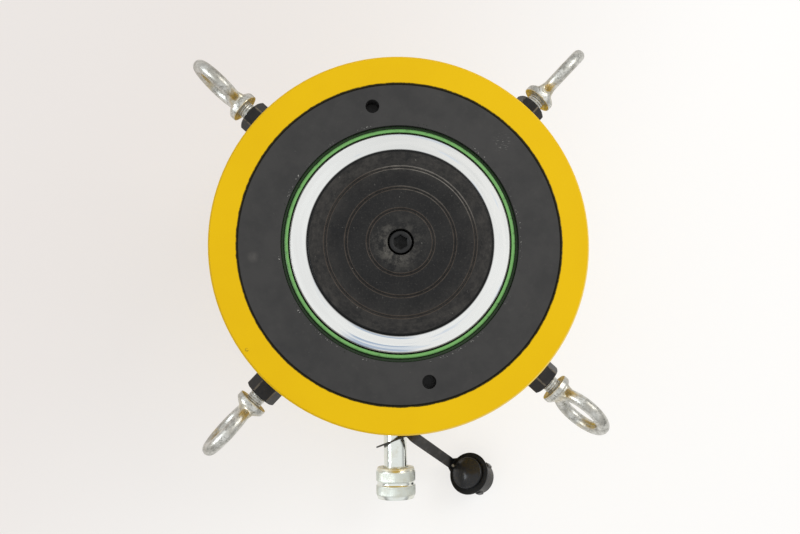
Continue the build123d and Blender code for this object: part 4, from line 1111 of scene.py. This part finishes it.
def joined(name, grids):
    """One mesh from several grids, given as (points, wraps rows, wraps columns)."""
    points, faces, count = [], [], 0
    for grid, wrap_rows, wrap_cols in grids:
        pattern = grid_faces(grid.shape[0], grid.shape[1], wrap_rows, wrap_cols)
        flat = grid.reshape(-1, 3)
        if enclosed_volume(flat - flat.mean(axis=0), pattern) < 0:
            pattern = pattern[:, ::-1]
        points.append(flat)
        faces.append(pattern + count)
        count += len(flat)
    mesh = bpy.data.meshes.new(name)
    mesh.from_pydata(np.concatenate(points).tolist(), [], np.concatenate(faces).tolist())
    edit = bmesh.new()
    edit.from_mesh(mesh)
    bmesh.ops.remove_doubles(edit, verts=edit.verts, dist=1e-7)
    edit.to_mesh(mesh)
    edit.free()
    return mesh


def forged_eye(name, azimuth, lean):
    """Ring, root and collar melted into one skin, and the thread as a second piece."""
    out, upwards, across = side_frame(azimuth, lean)
    origin = np.array([0, 0, bolt_height])
    collar_top = eye_seat + eye_collar_height
    collar_corners = [
        (0, eye_seat), (eye_collar_radius, eye_seat), (eye_collar_radius, collar_top),
        (eye_collar_radius - 0.0014, collar_top + 0.0014), (0.75 * 2 * ring_section, collar_top + eye_dome),
        (0.0045, collar_top + eye_dome + 0.0014), (0, collar_top + eye_dome + 0.0014),
    ]
    collar_profile = rounded(collar_corners, [0, 0.0005, 0.0012, 0.001, 0.003, 0.001, 0], steps=5, closed=False)
    grids = [
        (torus_points(out, upwards, across, origin + ring_centre * out), True, True),
        (root_points(out, upwards, across, origin), False, True),
        (turned_points(collar_profile, origin, out, upwards, 96), False, True),
    ]
    rough = bpy.data.objects.new(name, joined(name, grids))
    bpy.context.scene.collection.objects.link(rough)
    forging = remeshed(rough, "forging_" + name, 0.00048, 0.5, 7)
    thread = joined("thread_" + name, [(thread_points(out, upwards, origin), False, True)])
    for mesh, slot_node in ((forging, ["eye_bolt_" + name]), (thread, [])):
        dress(add_piece(mesh.name, mesh, "housing", slot_node), "galvanised")
    return forging, thread


for name, (azimuth, lean) in eye_bolts.items():
    forging, thread = forged_eye(name, azimuth, lean)
    print(name, len(forging.polygons), "forging faces,", len(thread.polygons), "thread faces")

# %% [markdown]
# ## Lock nuts
#
# A nut is a hexagon whose corners are turned down to a cone at both ends. As a
# surface that is simply the smaller of two radii, the hexagon's and the cone's,
# and the curved chamfer edges come out by themselves.

# %% Lock nuts
nut_flats, nut_height, nut_seat, nut_turn = 0.024, 0.0148, 0.1492, 7.0


def nut_points(out, upwards, columns=288):
    """Rows along the nut: outer radius = min(hexagon, cone), then back through the bore."""
    angle = np.linspace(0, 2 * pi, columns, endpoint=False)
    end_rows = np.linspace(0, 0.0016, 9)
    middle_rows = np.linspace(0.0018, nut_height - 0.0018, 5)
    along = np.concatenate([end_rows, middle_rows, nut_height - end_rows[::-1]])
    from_end = np.minimum(along, nut_height - along)[:, None]
    cone = 0.5 * nut_flats * 0.985 + from_end * 1.75
    six = np.minimum(hexagon_radius(angle, nut_flats), 0.01362)[None, :]
    softness = 0.00025
    radius = 0.5 * (cone + six - np.sqrt((cone - six) ** 2 + softness**2))
    radius = np.minimum(radius, six)
    bore_rows = np.array([[0.0088], [0.0081], [0.0081], [0.0088]]) * np.ones((1, columns))
    bore_along = np.array([nut_height, nut_height - 0.0008, 0.0008, 0.0])
    radius = np.concatenate([radius, bore_rows])
    along = np.concatenate([along, bore_along])
    across = np.cross(out, upwards)
    ring = np.cos(angle)[:, None] * upwards + np.sin(angle)[:, None] * across
    origin = np.array([0, 0, bolt_height]) + nut_seat * out
    return origin + along[:, None, None] * out + radius[..., None] * ring[None]


for name, (azimuth, lean) in eye_bolts.items():
    nut_out, nut_up, _ = side_frame(azimuth, nut_turn)
    grid = nut_points(nut_out, nut_up)
    nut_mesh = mesh_of("hex_nut_" + name, grid.reshape(-1, 3), grid_faces(*grid.shape[:2], True, True))
    nut_piece = add_piece("hex_nut_" + name, nut_mesh, "housing", ["eye_bolt_nut_" + name])
    dress(nut_piece, "nut_steel")
    nut_mesh.set_sharp_from_angle(angle=radians(30))
    print("nut", name, len(nut_mesh.polygons), "faces")

# %% [markdown]
# ## Floor, backdrop and light
#
# The photograph is taken on white paper under a wide, soft light. A sky that is
# almost as bright as white paper lights everything evenly, and one large soft
# lamp adds the faint shadows to the left of the coupler and the eye bolts.

# %% Floor and light
floor_mesh = bpy.data.meshes.new("paper_floor")
floor_half = 60.0
floor_corners = [(-floor_half, -floor_half, 0), (floor_half, -floor_half, 0), (floor_half, floor_half, 0), (-floor_half, floor_half, 0)]
floor_mesh.from_pydata(floor_corners, [], [(0, 1, 2, 3)])
floor = bpy.data.objects.new("paper_floor", floor_mesh)
bpy.context.scene.collection.objects.link(floor)
floor.location.z = -0.0002
paper = Finish("white paper", (0.9, 0.87, 0.84), 0.9, specular=0.0)
# Painted light: the paper is painted brighter towards +X and -Y, as if lit from that side.
across = paper.math("SUBTRACT", paper.axis("X"), paper.math("MULTIPLY", paper.axis("Y"), 0.72))
paper_tone_and_light = paper.mixed(paper.step(across, -0.42, 0.25), (0.84, 0.80, 0.775), (0.98, 0.97, 0.955))
paper_tone_and_light = paper.mixed(paper.step(paper.radius(), 1.2, 5.0), paper_tone_and_light, (0.92, 0.905, 0.89))
paper.colour(paper_tone_and_light)
seen = paper.nodes.new("ShaderNodeLightPath").outputs
seen_share = paper.math("MAXIMUM", seen["Is Camera Ray"], paper.math("MAXIMUM", seen["Is Glossy Ray"], seen["Is Transmission Ray"]))
glow = paper.nodes.new("ShaderNodeEmission")
paper.links.new(paper_tone_and_light, glow.inputs["Color"])
blend = paper.nodes.new("ShaderNodeMixShader")
paper.links.new(paper.math("MULTIPLY", seen_share, 0.68), blend.inputs[0])
paper.links.new(paper.shader.outputs[0], blend.inputs[1])
paper.links.new(glow.outputs[0], blend.inputs[2])
paper.links.new(blend.outputs[0], paper.nodes["Material Output"].inputs["Surface"])
floor_mesh.materials.append(paper.material)

backdrop_strength = 0.9
world = bpy.data.worlds.new("studio")
bpy.context.scene.world = world
world.use_nodes = True
sky_nodes, sky_links = world.node_tree.nodes, world.node_tree.links
sky_place = sky_nodes.new("ShaderNodeTexCoord")
sky_split = sky_nodes.new("ShaderNodeSeparateXYZ")
sky_links.new(sky_place.outputs["Generated"], sky_split.inputs[0])
sky_height = sky_nodes.new("ShaderNodeMapRange")
sky_height.interpolation_type = "SMOOTHSTEP"
for socket, number in (("From Min", 0.04), ("From Max", 0.5), ("To Min", 0.16), ("To Max", 0.94)):
    sky_height.inputs[socket].default_value = number
sky_links.new(sky_split.outputs["Z"], sky_height.inputs["Value"])
sky_seen = sky_nodes.new("ShaderNodeLightPath").outputs
backdrop_height = sky_nodes.new("ShaderNodeMapRange")
backdrop_height.interpolation_type = "SMOOTHSTEP"
for socket, number in (("From Min", 0.08), ("From Max", 0.30), ("To Min", 1.0), ("To Max", 0.0)):
    backdrop_height.inputs[socket].default_value = number
sky_links.new(sky_split.outputs["Z"], backdrop_height.inputs["Value"])


def sky_sum(operation, *terms):
    """The output of a Math node on sockets and numbers in the world's tree."""
    node = sky_nodes.new("ShaderNodeMath")
    node.operation = operation
    for socket, term in zip(node.inputs, terms):
        if isinstance(term, float):
            socket.default_value = term
        else:
            sky_links.new(term, socket)
    return node.outputs[0]


sky_share = sky_sum("MAXIMUM", sky_seen["Is Glossy Ray"], sky_seen["Is Transmission Ray"])
sky_share = sky_sum("MAXIMUM", sky_seen["Is Camera Ray"], sky_sum("MULTIPLY", sky_share, 0.3))
sky_share = sky_sum("MULTIPLY", sky_share, backdrop_height.outputs["Result"])
to_backdrop = sky_sum("SUBTRACT", backdrop_strength, sky_height.outputs["Result"])
sky_strength = sky_sum("MULTIPLY_ADD", sky_share, to_backdrop, sky_height.outputs["Result"])
sky = sky_nodes["Background"]
sky_tint = sky_nodes.new("ShaderNodeMix")
sky_tint.data_type = "RGBA"
sky_links.new(sky_share, sky_tint.inputs[0])
sky_tint.inputs[6].default_value = (0.98, 0.99, 1.0, 1.0)
sky_tint.inputs[7].default_value = (0.995, 0.978, 0.963, 1.0)
sky_links.new(sky_tint.outputs[2], sky.inputs["Color"])
sky_links.new(sky_strength, sky.inputs["Strength"])


def soft_lamp(name, place, aim, size, watts, tint):
    """A round area lamp at a place, turned so that its -Z axis looks at the aim."""
    data = bpy.data.lights.new(name, "AREA")
    data.shape = "DISK"
    data.size = size
    data.energy = watts
    data.color = tint
    lamp = bpy.data.objects.new(name, data)
    bpy.context.scene.collection.objects.link(lamp)
    lamp.location = place
    lamp.rotation_euler = (Vector(aim) - Vector(place)).to_track_quat("-Z", "Y").to_euler()
    return lamp


soft_lamp("soft_lamp", (1.5, 1.0, 1.9), (0, 0, 0.1), 1.2, 16.0, (1.0, 0.975, 0.94))
window = soft_lamp("side_window", (-1.69, -0.05, 0.97), (0, -0.1, 0.1), 0.75, 13.5, (0.88, 0.94, 1.0))
window.visible_diffuse = False
